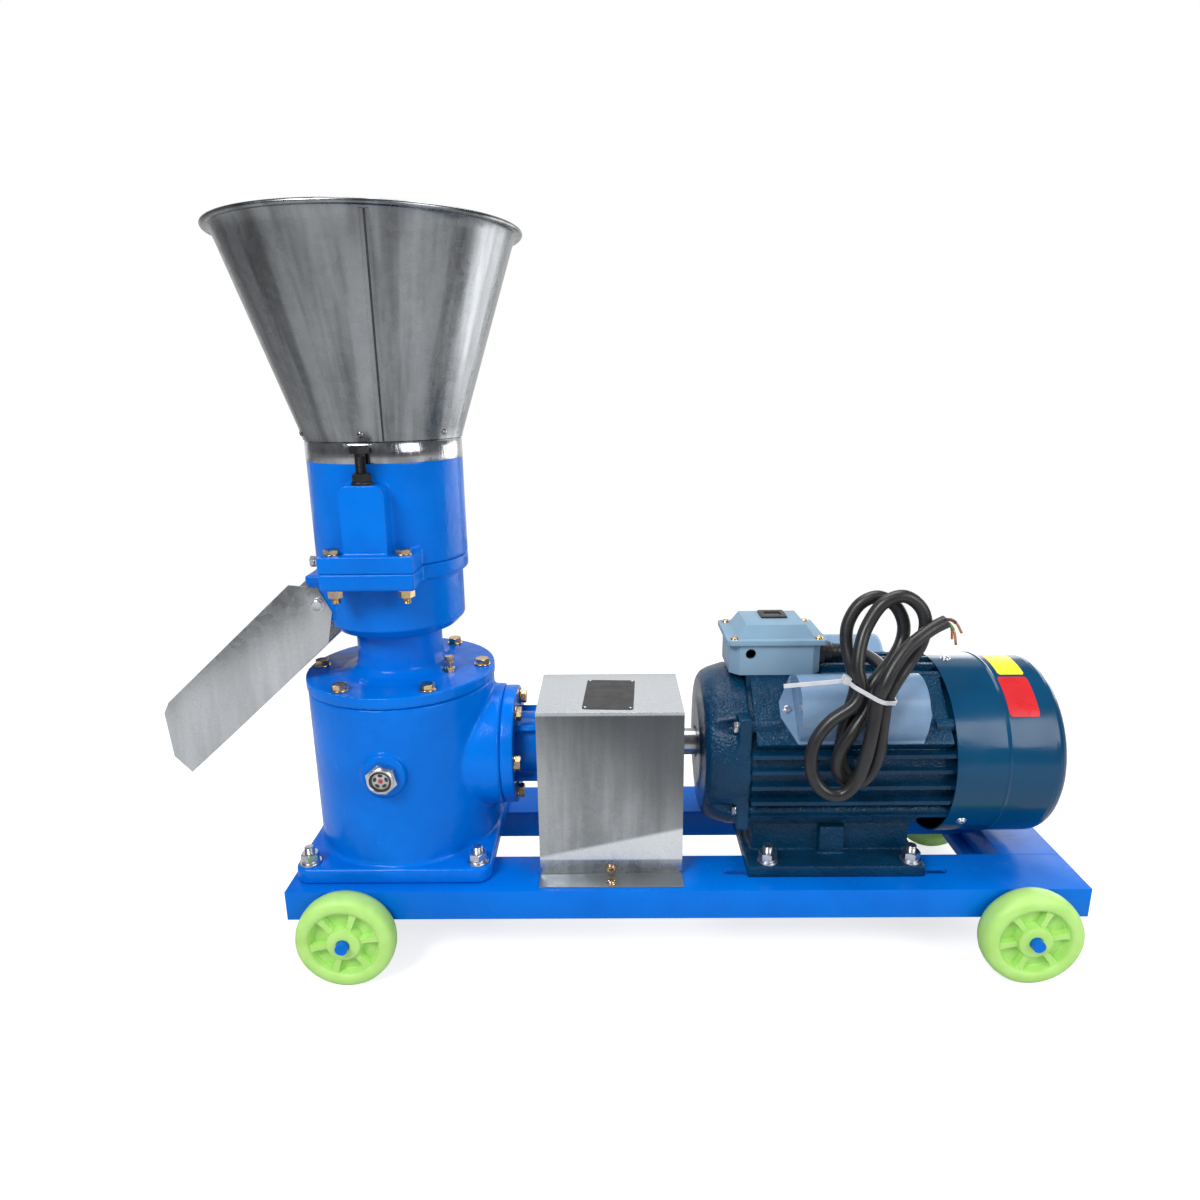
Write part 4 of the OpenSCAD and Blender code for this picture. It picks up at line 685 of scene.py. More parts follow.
outside = [(COLLAR_R - 0.9, CONE_FOOT - 2.5), (COLLAR_R - 0.7, CONE_FOOT - 0.6)]
outside += [(COLLAR_R + 0.9, CONE_FOOT + 0.6)] + [(cone_radius(z) + 0.2, z) for z in range(433, 606, 8)]
outside += [(CONE_R - 0.2, 608.6), (CONE_R + 1.2, 609.9)]
bead = [(RIM_R + BEAD_R * math.sin(math.radians(d)), RIM_TOP - BEAD_R * math.cos(math.radians(d)))
        for d in range(0, 300, 20)]
inside = [(r - 1.2, z) for r, z in reversed(outside)]
cone = turned(outside + bead + inside, 144, closed=True)
hopper_parts = [placed(cone, (*MILL, 0))]
collar = turned([(COLLAR_R - 1.3, COLLAR_FOOT), (COLLAR_R - 0.2, COLLAR_FOOT), (COLLAR_R, COLLAR_FOOT + 0.4),
                 (COLLAR_R, CONE_FOOT - 1.7), (COLLAR_R - 0.3, CONE_FOOT - 1.3),
                 (COLLAR_R - 1.3, CONE_FOOT - 1.3)], 144, closed=True)
lean = math.atan((CONE_R - COLLAR_R) / (RIM_TOP - CONE_FOOT))
seam_angle = math.radians(-75.5)
out = Vector((math.cos(seam_angle), math.sin(seam_angle), 0))
seam_up = (out * math.sin(lean) + Vector((0, 0, math.cos(lean)))).normalized()
seam_length = (RIM_TOP - CONE_FOOT) / math.cos(lean)
seam_levels = (1, 60, 120, seam_length - 4)
folds = [stacked([[(x + dx, y, z) for x, y, z in plate_loop(3.2, 1.9, 0.3, z)] for z in seam_levels])
         for dx in (-2.35, 2.35)]
seam_foot = Vector((*MILL, CONE_FOOT)) + out * (COLLAR_R + 0.25)
side = seam_up.cross(out).normalized()
basis = Matrix((side, out - seam_up * out.dot(seam_up), seam_up)).transposed()


def on_seam(shape):
    """The shape laid along the seam."""
    return [basis @ corner + seam_foot for corner in shape[0]], shape[1]


hopper_parts.append(on_seam(joined(*folds)))
# A thin strip laid between the two folds of the seam, as painted shadow for the shade in the gap.
seam_shadow_strip = stacked([plate_loop(1.7, 1.5, 0.2, z) for z in seam_levels])
rivet = turned([(2.9, -0.3), (2.9, 0.4), (2.4, 1.2), (1.3, 1.7), (0.2, 1.85)], 20)
for angle in (-90, -30, 30, 90, 150, 210):
    way = Vector((math.cos(math.radians(angle)), math.sin(math.radians(angle)), 0))
    seat = Vector((*MILL, CONE_FOOT + RIVET_UP)) + way * (cone_radius(CONE_FOOT + RIVET_UP) + 0.1)
    hopper_parts.append(placed(rivet, seat, way))
piece("hopper_sheet", joined(*hopper_parts), sheet_cone, "machine", "galvanised_sheet", ["hopper"], 40)
# The strip's near-black colour is painted shadow of the seam's gap.
seam_painted_shadow = moulded("seam_painted_shadow", (0.02, 0.02, 0.02), (0.035, 0.034, 0.032), 0.6)
piece("hopper_seam_line", on_seam(seam_shadow_strip), seam_painted_shadow, "machine")
piece("hopper_collar", placed(collar, (*MILL, 0)), collar_sheet, "machine", "galvanised_sheet", ["hopper"],
      40)
print("hopper rim", round(2 * (RIM_R + BEAD_R)), "mm across")

# %% [markdown]
# A moulded wheel has a thick tread with round shoulders, a thin web set back from both faces, six spokes
# and a hub. The spokes flare where they meet the rim, as moulded parts do.

# %% Wheels
WHEEL_R, AXLE_Z = 48.5, -41.0
WHEEL_XS = {"left": 62, "right": 724}
WHEEL_YS = {"front": -14, "rear": 224}


def wheel_shape():
    tread = [(34.2, -10.4), (35.4, -11.6), (38.6, -12), (43.4, -11.7), (46.6, -9.4), (48.1, -5), (48.5, 0)]
    tread += [(r, -z) for r, z in reversed(tread[:-1])]
    inner = [(33.6, 9), (32.6, 3.4), (31, 2.4), (31, -2.4), (32.6, -3.4), (33.6, -9)]
    rim = turned(tread + inner, 96, closed=True)
    web = turned([(15.5, -2.4), (31.6, -2.4), (31.6, 2.4), (15.5, 2.4)], 96, closed=True)
    half = [(6.15, 11.7), (7, 12.5), (13.6, 12.5), (16, 11.4), (17, 7), (17.6, 3)]
    hub = turned(half + [(r, -z) for r, z in reversed(half)], 64, closed=True)
    parts = [rim, web, hub]
    for i in range(6):
        for face in (1, -1):
            spoke = stacked([[(x, y * w, z) for y, z in ((-1, 1), (1, 1), (0.8, 9), (-0.8, 9))]
                             for x, w in ((15.5, 3.6), (18, 3.3), (25, 3.3), (30, 3.9), (33.6, 5.4))])
            parts.append(placed(spoke, (0, 0, 0), (0, 0, face), 60 * i + 10))
    return joined(*parts)


wheel = wheel_shape()
for end, y in WHEEL_YS.items():
    for hand, x in WHEEL_XS.items():
        name = f"{end}_{hand}"
        piece(name + "_moulded_wheel", placed(wheel, (x, y, AXLE_Z), (0, -1, 0)), wheel_green,
              name + "_wheel_body", "wheel_plastic", [name + "_wheel"], 40)
print("four wheels of", round(2 * WHEEL_R), "mm")

# %% [markdown]
# Bolts, nuts and screws repeat all over the machine. Each kind is modelled once, with chamfered corners
# and real threads, and a node tree sets a copy on every seat, turned by a little chance as a spanner
# leaves it.

# %% Fastener shapes


def hexagon(across):
    """Radius of a hexagon of that width across its flats, at an angle."""
    return lambda angle: across / 2 / math.cos((angle + math.pi / 6) % (math.pi / 3) - math.pi / 6)


def hex_head(across, low, high):
    """A hexagon with chamfered corners on top and a slight one below."""
    corner, flat = hexagon(across), across / 2 * 0.95

    def shoulder(height, sign):
        return lambda angle: height - sign * (corner(angle) - flat) * 0.5

    return stacked([loop(flat, low), loop(corner, shoulder(low, -0.5)), loop(corner, shoulder(high, 1)),
                    loop(flat, high), loop(flat * 0.8, high - 0.15)])


def washer(radius, low, high, hole=0.0):
    return turned([(hole, low), (radius - 0.2, low), (radius, low + 0.3), (radius, high - 0.3),
                   (radius - 0.2, high), (hole, high)], 48, closed=True)


def thread(radius, low, high, pitch=1.25, steps=24):
    """A rod with a helical thread."""
    rows = int((high - low) / pitch * 4)

    def groove(height):
        return lambda angle: radius - 0.55 * pitch * abs(2 * ((height / pitch - angle / math.tau) % 1) - 1)

    heights = [low + (high - low) * i / rows for i in range(rows)]
    loops = [loop(groove(height), height, steps) for height in heights]
    return stacked(loops + [loop(radius * 0.72, high, steps)])


def cross_head(radius, low, high):
    """A pan head with a cross recess."""
    def cross(size):
        def outline(angle):
            away = abs((angle + math.pi / 4) % (math.pi / 2) - math.pi / 4)
            return min(size / math.cos(away), size * 0.3 / max(math.sin(away), 0.05))
        return outline

    tall = high - low
    dome = [(0.97, 0), (1, 0.3), (0.94, 0.6), (0.76, 0.9)]
    loops = [loop(radius * r, low + tall * share) for r, share in dome]
    return stacked(loops + [loop(radius * 0.62, high), loop(cross(radius * 0.55), high),
                            loop(cross(radius * 0.4), high - tall * 0.6)])


M8_BOLT = joined(washer(8.5, 0, 1.6), hex_head(13, 1.6, 6.9), turned([(4, -2), (4, 1)], 24))
M8_NUT = joined(washer(8, 0, 1.4, 3.5), hex_head(13, 1.4, 7.9), thread(4, 7, 13.8))
M10_NUT = joined(washer(10.5, 0, 2), washer(8.6, 2, 4.2), hex_head(16, 4.2, 11.4), thread(5, 11, 18))
M10_HEAD = hex_head(16, 0, 6.4)
M6_BOLT = joined(washer(5.6, 0, 0.9), hex_head(10, 0.9, 4))
PAN_M4 = joined(washer(4.4, -0.4, 0.3), cross_head(3.9, 0.3, 2.2))
PAN_M5 = joined(washer(5.2, 0, 0.6), cross_head(4.5, 0.6, 3))
print("thread of one base bolt:", len(M10_NUT[1]), "faces")

# %% [markdown]
# The node tree is built once. Its inputs are the shape, the material and a seed; every point of the
# carrying mesh is a seat, and an attribute there says which way its bolt points.

# %% Node tree that sets fasteners on their seats


def fastener_tree():
    tree = bpy.data.node_groups.new("fasteners", "GeometryNodeTree")
    for name, kind in (("Geometry", "Geometry"), ("Shape", "Object"), ("Finish", "Material"), ("Seed", "Int")):
        tree.interface.new_socket(name, in_out="INPUT", socket_type="NodeSocket" + kind)
    tree.interface.new_socket("Geometry", in_out="OUTPUT", socket_type="NodeSocketGeometry")

    def add(kind, **settings):
        node = tree.nodes.new(kind)
        for key, value in settings.items():
            setattr(node, key, value)
        return node

    inputs, result = add("NodeGroupInput"), add("NodeGroupOutput")
    shape = add("GeometryNodeObjectInfo")
    toward = add("GeometryNodeInputNamedAttribute", data_type="FLOAT_VECTOR")
    toward.inputs["Name"].default_value = "toward"
    aim = add("FunctionNodeAlignRotationToVector", axis="Z")
    chance = add("FunctionNodeRandomValue", data_type="FLOAT")
    chance.inputs["Min"].default_value = -0.4
    chance.inputs["Max"].default_value = 0.4
    spin = add("ShaderNodeCombineXYZ")
    spin_turn = add("FunctionNodeEulerToRotation")
    both = add("FunctionNodeRotateRotation", rotation_space="LOCAL")
    setter = add("GeometryNodeInstanceOnPoints")
    real = add("GeometryNodeRealizeInstances")
    coat = add("GeometryNodeSetMaterial")
    tree.links.new([s for s in chance.outputs if s.enabled][0], spin.inputs["Z"])
    for source, output, target, socket in (
            (inputs, "Shape", shape, "Object"), (inputs, "Seed", chance, "Seed"),
            (inputs, "Finish", coat, "Material"), (inputs, "Geometry", setter, "Points"),
            (shape, "Geometry", setter, "Instance"), (toward, "Attribute", aim, "Vector"),
            (spin, "Vector", spin_turn, "Euler"), (aim, "Rotation", both, "Rotation"),
            (spin_turn, "Rotation", both, "Rotate By"), (both, "Rotation", setter, "Rotation"),
            (setter, "Instances", real, "Geometry"), (real, "Geometry", coat, "Geometry"),
            (coat, "Geometry", result, "Geometry")):
        tree.links.new(source.outputs[output], target.inputs[socket])
    return tree


FASTENERS = fastener_tree()


def fasteners(name, shape, seats, material, seed, body="machine", slot=None, replaces=()):
    """Sets one shape on every seat: a seat is a place in millimetres and a direction."""
    mesh = bpy.data.meshes.new(name + "_shape")
    mesh.from_pydata([corner * MM for corner in shape[0]], [], shape[1])
    finish_mesh(mesh, 35)
    pattern = bpy.data.objects.new(name + "_shape", mesh)
    points = bpy.data.meshes.new(name + "_seats")
    points.from_pydata([at(*place) for place, _ in seats], [], [])
    aim = points.attributes.new("toward", "FLOAT_VECTOR", "POINT")
    for i, (_, direction) in enumerate(seats):
        aim.data[i].vector = direction
    carrier = bpy.data.objects.new(name + "_seats", points)
    bpy.context.collection.objects.link(carrier)
    modifier = carrier.modifiers.new("fasteners", "NODES")
    modifier.node_group = FASTENERS
    values = {"Shape": pattern, "Finish": material, "Seed": seed}
    for item in FASTENERS.interface.items_tree:
        if item.item_type == "SOCKET" and item.in_out == "INPUT" and item.name in values:
            modifier[item.identifier] = values[item.name]
    result = bpy.data.meshes.new_from_object(carrier.evaluated_get(bpy.context.evaluated_depsgraph_get()))
    carrier.modifiers.remove(modifier)
    bpy.data.objects.remove(carrier)
    result.name = name
    return shown(name, result, material, body, replaces)


UP, DOWN, LEFT, RIGHT, FRONT = (0, 0, 1), (0, 0, -1), (-1, 0, 0), (1, 0, 0), (0, -1, 0)


def around(radius, angles, height):
    """Places round the mill's axis."""
    middle = Vector((*MILL, height))
    ways = [Vector((math.cos(math.radians(a)), math.sin(math.radians(a)), 0)) for a in angles]
    return [tuple(middle + way * radius) for way in ways]


def motor_ring(x, radius, angles):
    """Places round the motor's axis, at angles from the rear towards the top."""
    return [(x, MILL[1] + radius * math.cos(math.radians(a)), SHAFT_Z + radius * math.sin(math.radians(a)))
            for a in angles]


def seats(places, way):
    """The same direction for every place."""
    return [(place, way) for place in places]


SHAFT_Z, COVER_TOP, BASE_TOP, FOOT_TOP, RAIL_UNDERSIDE = 106.0, 195.3, 16.6, 11.9, -4
UPPER_LUG_TOP, LOWER_LUG_UNDERSIDE, FLANGE_FACE = 330.7, 299, 222.5
on_zinc = {"slot": "bright_zinc"}
on_yellow = {"slot": "yellow_zinc"}
fasteners("cover_bolts", M8_BOLT, seats(around(84, range(0, 360, 60), COVER_TOP), UP), yellow_zinc, 3,
          **on_yellow, replaces=["gearbox_cover_bolts"])
clamps = [(MILL[0] + dx, MILL[1] + dy) for dx in (-32.5, 32.5) for dy in (-85.5, 85.5)]
clamp_top = joined(washer(7.4, 0, 1.1), hex_head(13, 1.1, 5.3))
fasteners("clamp_bolt_heads", clamp_top, seats([(*p, UPPER_LUG_TOP) for p in clamps], UP), yellow_zinc, 5,
          **on_yellow, replaces=["clamp_bolts"])
fasteners("clamp_bolt_nuts", M8_NUT, seats([(*p, LOWER_LUG_UNDERSIDE) for p in clamps], DOWN), yellow_zinc, 8,
          **on_yellow)
base_holes = [(x, y) for x in (19, 187) for y in (26, 198)]
foot_holes = [(x, y) for x in (477.7, 620.7) for y in (32, 192)]
nut_places = [(*p, BASE_TOP) for p in base_holes] + [(*p, FOOT_TOP) for p in foot_holes]
head_places = [(*p, RAIL_UNDERSIDE) for p in base_holes + foot_holes]
fasteners("mounting_nuts", M10_NUT, seats(nut_places, UP), bright_zinc, 11, **on_zinc,
          replaces=["mounting_bolts"])
fasteners("mounting_bolt_heads", M10_HEAD, seats(head_places, DOWN), bright_zinc, 12, **on_zinc)
fasteners("input_flange_bolts", M8_BOLT, seats(motor_ring(FLANGE_FACE, 50, range(0, 360, 60)), RIGHT),
          yellow_zinc, 14, **on_yellow, replaces=["input_housing_bolts"])
lid_places = [(x, y, 230.5) for x in (445, 529) for y in (81.5, 142.5)]
fasteners("lid_screw_heads", PAN_M4, seats(lid_places, UP), yellow_zinc, 17, **on_yellow,
          replaces=["lid_screws"])
fasteners("guard_screw_heads", PAN_M5, [((320.25, 12.6, 1.2), UP), ((320.25, 26.6, 8), FRONT)], yellow_zinc, 19,
          **on_yellow, replaces=["guard_screws"])
print("fasteners set")

# %% [markdown]
# The end shields' bolts are small hexagon bolts, and the fan cover is held by three pan-head screws.

# %% Motor screws
COWL_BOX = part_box("fan_cover")
COWL_X0, COWL_X1 = ((corner.x - CORNER.x) / MM for corner in COWL_BOX)
COWL_R = (COWL_BOX[1].y - COWL_BOX[0].y) / MM / 2 - 0.8
SHIELD_ANGLES = (34, 146, 208, 332)
BOLT_RING = COWL_R - 8.5
shield_seats = seats(motor_ring(444.5, BOLT_RING, SHIELD_ANGLES), LEFT)
shield_seats += seats(motor_ring(698.5, BOLT_RING, SHIELD_ANGLES), RIGHT)
fasteners("shield_bolts", M6_BOLT, shield_seats, bright_zinc, 23, **on_zinc, replaces=["motor_screws"])
cowl_seats = []
for angle in (92, 214, 326):
    way = (0, math.cos(math.radians(angle)), math.sin(math.radians(angle)))
    cowl_seats.append((motor_ring(COWL_X0 + 16, COWL_R, [angle])[0], way))
cowl_screw = joined(washer(5.4, -0.5, 0.5), cross_head(4, 0.5, 2.4))
fasteners("cowl_screws", cowl_screw, cowl_seats, bright_zinc, 29, **on_zinc)
print("cowl", round(COWL_X1 - COWL_X0), "mm long, radius", round(COWL_R, 1))

# %% [markdown]
# A chute screw on each side is the chute's pivot; it has a wide flange. The long black bolts on top press
# the rollers down on the die, and a lock nut under each head keeps its setting.

# %% Chute screws, adjusters and lock nuts
PIVOT_X, PIVOT_Z, CHUTE_HALF = 38.6, 273.7, 47.9
ADJUSTER_Y = {"front": -84, "rear": 84}
chute_seats = [((PIVOT_X, MILL[1] + s * CHUTE_HALF, PIVOT_Z), (0, s, 0)) for s in (-1, 1)]
fasteners("chute_pivot_screws", joined(washer(7.2, 0, 1.2), hex_head(10, 1.2, 4)), chute_seats, bright_zinc,
          31, **on_zinc, replaces=["chute_screws"])
for side, dy in ADJUSTER_Y.items():
    adjuster = joined(hex_head(16, 0, 6.4), thread(5, -62, -2), turned([(4.6, -3), (4.6, 0.5)], 24))
    piece(side + "_adjuster_screw", placed(adjuster, (MILL[0], MILL[1] + dy, 420.8), UP, 8), black_oxide,
          side + "_adjuster", "black_oxide", [side + "_adjusting_bolt"])
lock_nut = joined(washer(9.4, 0, 2.5, 5.2), hex_head(16, 2.5, 10))
nut_places = [(MILL[0], MILL[1] + dy, 393.5) for dy in ADJUSTER_Y.values()]
fasteners("lock_nuts", lock_nut, seats(nut_places, UP), black_oxide, 37, slot="black_oxide",
          replaces=["adjusting_lock_nuts"])
print("adjusters done")

# %% [markdown]
# The oil sight glass is a zinc-plated nut with a window. Behind the window, a white reflector with a red
# middle is held by a black ring; its five dark lobes show the oil.

# %% Sight glass
SIGHT = Vector(((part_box("sight_glass_nut")[0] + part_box("sight_glass_nut")[1]) / 2 - CORNER)) / MM
SIGHT.y = 12.0
window_rim = [(12.8, 6.5), (12.8, 9.4), (12.2, 10), (10.9, 10), (10.5, 9.5), (10.5, 5), (12, 5)]
nut = joined(hex_head(27, 0, 7), turned(window_rim, 64, closed=True))
piece("sight_glass_frame", placed(nut, SIGHT, FRONT, 12), bright_zinc, "machine", "bright_zinc",
      ["sight_glass_nut"])
ring = turned([(8.4, 7), (8.4, 8.6), (9, 8.9), (10.4, 8.9), (10.4, 7)], 64, closed=True)
lobe = stacked([[(2.4 * x, 1.5 * y, z) for x, y, z in loop(s, z, 20)]
                for s, z in ((1, 7.6), (1, 8.0), (0.8, 8.1))])
lobes = []
for i in range(5):
    angle = math.radians(72 * i + 18)
    turn = Matrix.Rotation(angle + math.pi / 2, 3, "Z")
    shift = Vector((5.7 * math.cos(angle), 5.7 * math.sin(angle), 0))
    lobes.append(([turn @ corner + shift for corner in lobe[0]], lobe[1]))
piece("sight_glass_ring", placed(joined(ring, *lobes), SIGHT, FRONT), sight_plastic, "machine", "sight_plastic",
      ["sight_glass_lens"])
reflector = moulded("reflector_white", (0.5, 0.48, 0.46), (0.4, 0.4, 0.38), 0.3)
disc = turned([(9.6, 6.9), (9.6, 7.4), (9.2, 7.6)], 48)
piece("sight_glass_reflector", placed(disc, SIGHT, FRONT), reflector, "machine")
red_dot = moulded("reflector_red", (0.45, 0.05, 0.07), (0.36, 0.04, 0.06), 0.3)
dot = turned([(2.3, 7.5), (2.3, 7.9), (1.9, 8.05)], 24)
piece("sight_glass_dot", placed(dot, SIGHT, FRONT), red_dot, "machine")
print("sight glass at height", round(SIGHT.z, 1))

# %% [markdown]
# The breather is a small brass-coloured plug: a hexagon, a stem and a knurled cap that spins by hand.

# %% Breather
def knurl(radius):
    return lambda angle: radius + 0.22 * abs(math.sin(14 * angle))


knurled = stacked([loop(r, z, 84) for r, z in ((4.1, 11.6), (knurl(4.5), 12.2), (knurl(4.5), 15.4), (4, 16))])
stem = turned([(3.6, 3), (3.6, 12.4)], 32)
breather = joined(hex_head(11, 0, 4), stem, turned([(4.3, 9.4), (4.3, 10)], 32), knurled)
piece("breather_cap", placed(breather, (156.5, 92, COVER_TOP)), yellow_zinc, "machine", "yellow_zinc",
      ["breather_plug"])

# %% [markdown]
# The rating plate on the guard and the two stickers on the fan cover are real objects in their own
# right, so they are here at their size and place, but blank.

# %% Plates and stickers


def on_cowl(name, x0, x1, first, last, material):
    """A thin sticker that follows the cowl between two angles."""
    steps, thick = 16, 0.25
    columns = []
    for i in range(steps + 1):
        angle = math.radians(first + (last - first) * i / steps)
        out = Vector((0, math.cos(angle), math.sin(angle)))
        middle = Vector((0, MILL[1], SHAFT_Z))
        low, high = middle + out * (COWL_R - 0.1), middle + out * (COWL_R + thick)
        cut = 1.5 if i in (0, steps) else 0.0
        columns.append([(x0 + cut, *low.yz), (x1 - cut, *low.yz), (x1 - cut, *high.yz), (x0 + cut, *high.yz)])
    return piece(name, stacked(columns), material, "machine")


def printed(name, colour, other, roughness=0.25):
    return moulded(name, colour, other, roughness, 0.00001, 0.004)


plate_black = printed("plate_black", (0.012, 0.012, 0.013), (0.02, 0.02, 0.022), 0.35)
sticker_yellow = printed("sticker_yellow", (0.85, 0.75, 0.03), (0.8, 0.7, 0.03))
sticker_red = printed("sticker_red", (0.6, 0.015, 0.02), (0.54, 0.015, 0.02))
plate_turn = Matrix.Rotation(math.radians(-3), 3, "Z")
blank = plate(50, 78, 0.8, 3)
blank = ([plate_turn @ corner + Vector((320, 74, 175.3)) for corner in blank[0]], blank[1])
piece("blank_rating_plate", blank, plate_black, "machine")
pins = turned([(1.5, 0), (1.5, 0.5), (1.1, 0.9), (0.3, 1.1)], 16)
pin_places = [tuple(plate_turn @ Vector((dx, dy, 0)) + Vector((320, 74, 176)))
              for dx in (-22, 22) for dy in (-36, 36)]
fasteners("plate_rivets", pins, seats(pin_places, UP), bright_zinc, 41)
on_cowl("blank_yellow_sticker", 709, 735, 87, 112, sticker_yellow)
on_cowl("blank_red_sticker", 706, 735, 114, 142, sticker_red)
print("plates and stickers done")

# %% [markdown]
# The window in the lid belongs to a small plug-in meter: a black frame with a smoked pane.

# %% Meter frame
METER = (490, 122, 0)
levels = ((27, 26, 2, 243.5), (27, 26, 2, 244.9), (26, 25, 1.6, 245.5), (17, 13, 0.8, 245.5),
          (16, 12, 0.6, 244.2), (16, 12, 0.6, 243.4))
meter = stacked([plate_loop(*level) for level in levels], closed=True)
piece("meter_frame", placed(meter, METER), black_plastic, "machine", "black_plastic", ["lid_window_frame"])
pane = moulded("smoked_pane", (0.05, 0.045, 0.045), (0.06, 0.055, 0.055), 0.12)
piece("meter_pane", placed(plate(17, 13, 0.8, 0.5), (*METER[:2], 243.2)), pane, "machine")
print("meter done")

# %% [markdown]
# The cord leaves the gland through a short tapered rubber sleeve. At its free end the sheath is cut back:
# three coloured cores come out, and the ends of their twisted copper strands are bare.

# %% Strain relief and cores
sleeve = smooth_line(CORD_ROUTE[:5], 8)
sleeve = [(place - CORNER) / MM for place in sleeve][:22]


def taper(share):
    return 8.6 - 2.0 * share + 0.25 * (int(share * 9) % 2)


piece("cord_strain_relief", pipe(sleeve, taper, 24), cord_rubber, "machine", "black_rubber")
gland = joined(hex_head(22, 0, 6), turned([(9.6, 5.5), (9.9, 7), (9.9, 12.6), (9, 13.7), (6.2, 13.7)], 48))
piece("gland_nut", placed(gland, (532.5, 98, 211.5), RIGHT, 10), black_plastic, "machine", "black_plastic",
      ["cable_gland"])
CORE_COLOURS = {"brown": (0.14, 0.045, 0.02), "blue": (0.02, 0.09, 0.3), "green": (0.1, 0.24, 0.05)}
for route, (colour_name, colour) in zip(CORE_ROUTES, CORE_COLOURS.items()):
    line = [(place - CORNER) / MM for place in smooth_line(route, 10)]
    stripped = len(line) * 6 // 10
    rubber = moulded("core_" + colour_name, colour, tuple(c * 0.8 for c in colour), 0.35)
    piece("core_" + colour_name, pipe(line[:stripped], 1.5, 14), rubber, "machine")
    strands = []
    bare = line[stripped - 2:]
    for s in range(6):
        twisted = [place + Vector((0.75 * math.cos(i * 0.7 + s * 1.047), 0.75 * math.sin(i * 0.7 + s * 1.047), 0))
                   for i, place in enumerate(bare)]
        strands.append(pipe(twisted, 0.36, 6))
    piece("strands_" + colour_name, joined(*strands), bare_copper, "machine", "copper")
print("cord end done")

# %% [markdown]
# The frame is welded from channels. A ripple of weld shows where the cross members meet the rails and
# where the axle bars pass under them.

# %% Welds


def weld(start, end, radius=1.6):
    """A rippled bead between two places."""
    start, end = Vector(start), Vector(end)
    count = max(int((end - start).length / 0.7), 4)
    line = [start.lerp(end, i / count) + Vector((0, 0, 0.12 * math.sin(i * 2.1))) for i in range(count + 1)]
    return pipe(line, lambda share: radius * (0.82 + 0.18 * math.sin(share * count * 1.9)), 8)


beads = []
for y in (60, 150):
    for x0 in (2, 728):
        beads.append(weld((x0, y, -0.35), (x0 + 56, y, -0.35), 0.8))
for x in (62, 724):
    for y in (6, 54, 156, 204):
        beads.append(weld((x - 9, y, -31.6), (x + 9, y, -31.6), 2.2))
piece("frame_welds", joined(*beads), plate_blue, "machine", "machine_paint", limit=60)
print("welds:", len(beads))

# %% [markdown]
# The clear capacitor covers are held by a screw in each end tab.

# %% Capacitor cover screws
cap_seats = []
for sign in (-1, 1):
    out = Vector((0, sign * math.sin(math.radians(45)), math.cos(math.radians(45))))
    for x in (493.5, 626.5):
        cap_seats.append((tuple(Vector((x, MILL[1], SHAFT_Z)) + out * 88.4), tuple(out)))
fasteners("capacitor_screws", PAN_M4, cap_seats, bright_zinc, 43, slot="bright_zinc")

# %% [markdown]
# A plain pale studio: a wide floor, a white surround that only the camera and reflections see, and four
# large soft lamps. The floor adds a little light of its own for the camera, so it reads as white paper.

# %% Studio


def glowing(f, strength):
    """White light of its own."""
    return f.node("ShaderNodeEmission", None, {"Color": (1, 1, 1, 1), "Strength": strength})[0]


def paper(name, colour, glow, near, far):
    """Matt white paper: the camera sees a soft shadow on it up to near, and plain white beyond far metres."""
    f = Finish(name)
    path = f.node("ShaderNodeLightPath")
    seen = path["Is Camera Ray"] + path["Is Transmission Ray"]
    diffuse = f.node("ShaderNodeBsdfDiffuse", None, {"Color": (*colour, 1)})[0]
    both = f.node("ShaderNodeAddShader", None, {0: diffuse, 1: glowing(f, seen * glow)})[0]
    away = f.node("ShaderNodeVectorMath", {"operation": "LENGTH"}, {0: f.place})["Value"]
    fade = f.between(away, near, far) * seen
    mixed = f.node("ShaderNodeMixShader", None, {0: fade, 1: both, 2: glowing(f, 1.0)})[0]
    f.node("ShaderNodeOutputMaterial", None, {"Surface": mixed})
    return f.material


def backdrop_white(name, mirrored):
    """A lit screen that only the camera and shiny surfaces see."""
    f = Finish(name)
    path = f.node("ShaderNodeLightPath")
    seen = path["Is Camera Ray"] + path["Is Transmission Ray"] + path["Is Glossy Ray"] * mirrored
    f.node("ShaderNodeOutputMaterial", None, {"Surface": glowing(f, seen)})
    return f.material


def sheet(name, corners, material):
    """A flat surface of the studio through four places in metres."""
    mesh = bpy.data.meshes.new(name)
    mesh.from_pydata(corners, [], [(0, 1, 2, 3)])
    made = bpy.data.objects.new(name, mesh)
    bpy.context.collection.objects.link(made)
    paint(made, material)
    return made


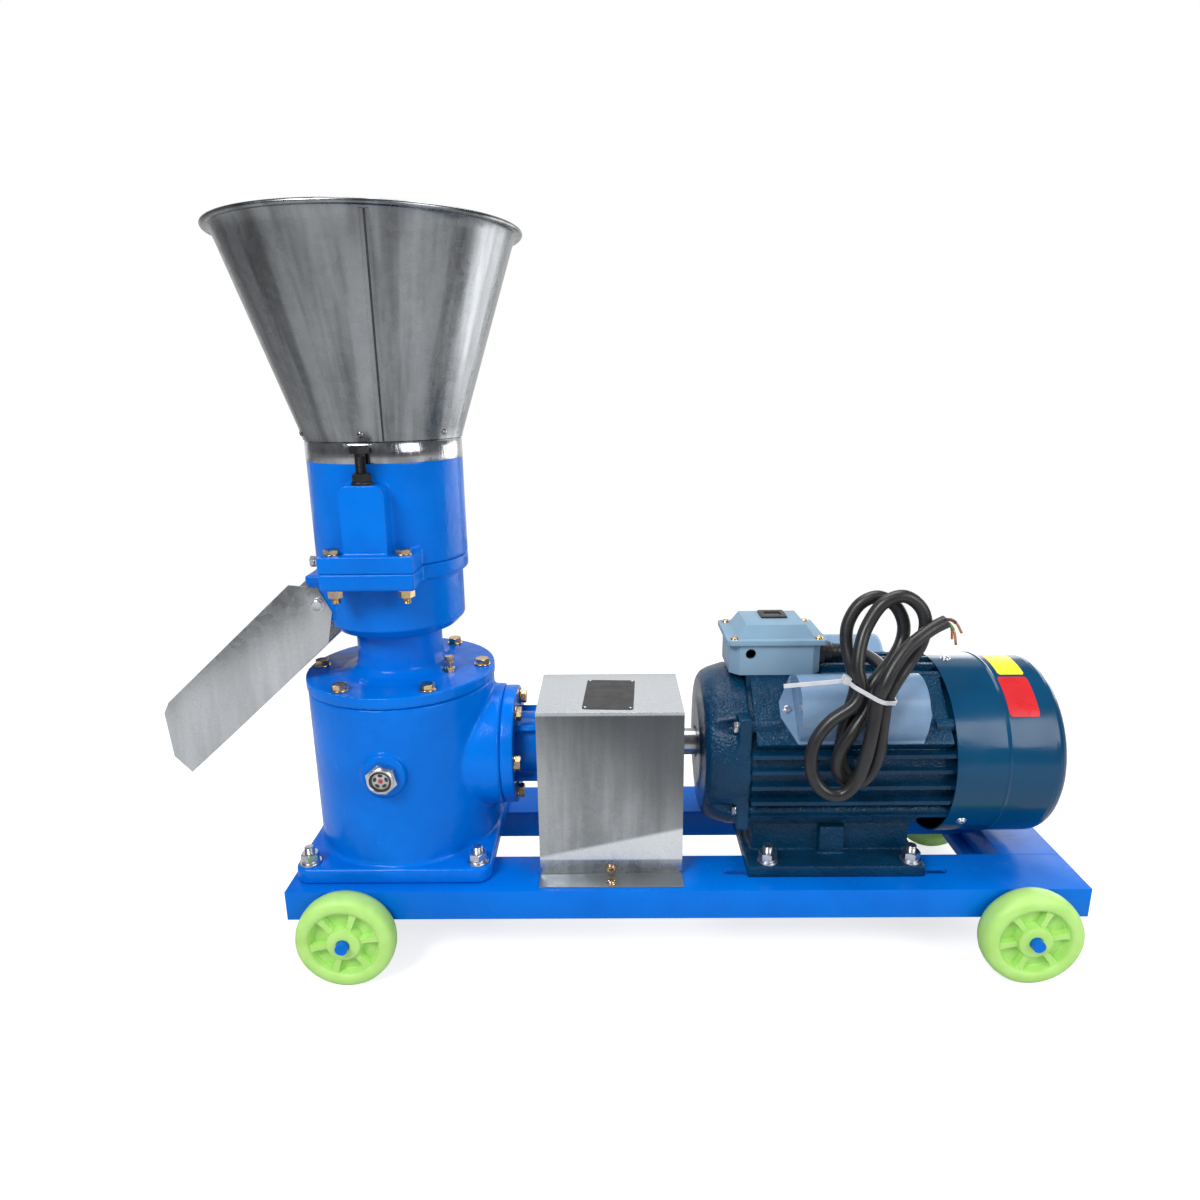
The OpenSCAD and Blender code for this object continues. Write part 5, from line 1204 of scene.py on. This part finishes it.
def soft_lamp(name, place, aim, size, power):
    """A square lamp of that size in metres that looks at aim."""
    data = bpy.data.lights.new(name, "AREA")
    data.size = size
    data.energy = power
    lamp = bpy.data.objects.new(name, data)
    direction = Vector(aim) - Vector(place)
    lamp.matrix_world = Matrix.Translation(place) @ direction.to_track_quat("-Z", "Y").to_matrix().to_4x4()
    bpy.context.collection.objects.link(lamp)
    return lamp


HALF = 20
floor = sheet("floor", [(-HALF, -HALF, 0), (HALF, -HALF, 0), (HALF, HALF, 0), (-HALF, HALF, 0)],
              paper("white_paper", (0.55, 0.55, 0.55), 0.72, 0.6, 1.3))
backdrop = sheet("backdrop", [(-3, 2.2, 0.01), (3, 2.2, 0.01), (3, 2.2, 2.6), (-3, 2.2, 2.6)],
                 backdrop_white("lit_screen", 0.85))
lamps = [
    soft_lamp("key", (-1.1, -1.6, 2.0), (0, 0, 0.3), 0.9, 44),
    soft_lamp("fill", (1.5, -1.4, 1.2), (0, 0, 0.3), 1.1, 20),
    soft_lamp("top", (0.0, 0.5, 2.4), (0, 0, 0.3), 1.4, 32),
    soft_lamp("side", (1.15, 0.95, 0.3), (-0.1, 0.0, 0.55), 1.1, 10),
]

sky = Finish("studio", bpy.data.worlds.new("studio"))
bpy.context.scene.world = sky.material


def sky_light(colour, strength):
    """One even light from all round."""
    return sky.node("ShaderNodeBackground", None, {"Color": (*colour, 1), "Strength": strength})[0]


DAYLIGHT = (0.95, 0.97, 1)
path = sky.node("ShaderNodeLightPath")
around_it = sky.node("ShaderNodeMixShader", None, {
    0: path["Is Glossy Ray"], 1: sky_light(DAYLIGHT, 0.42), 2: sky_light(DAYLIGHT, 0.16)})[0]
seen = path["Is Camera Ray"] + path["Is Transmission Ray"]
everything = sky.node("ShaderNodeMixShader", None, {0: seen, 1: around_it, 2: sky_light((1, 1, 1), 1.0)})[0]
sky.node("ShaderNodeOutputWorld", None, {"Surface": everything})
bpy.context.scene.view_settings.view_transform = "Standard"
print("studio ready with", len(lamps), "lamps")
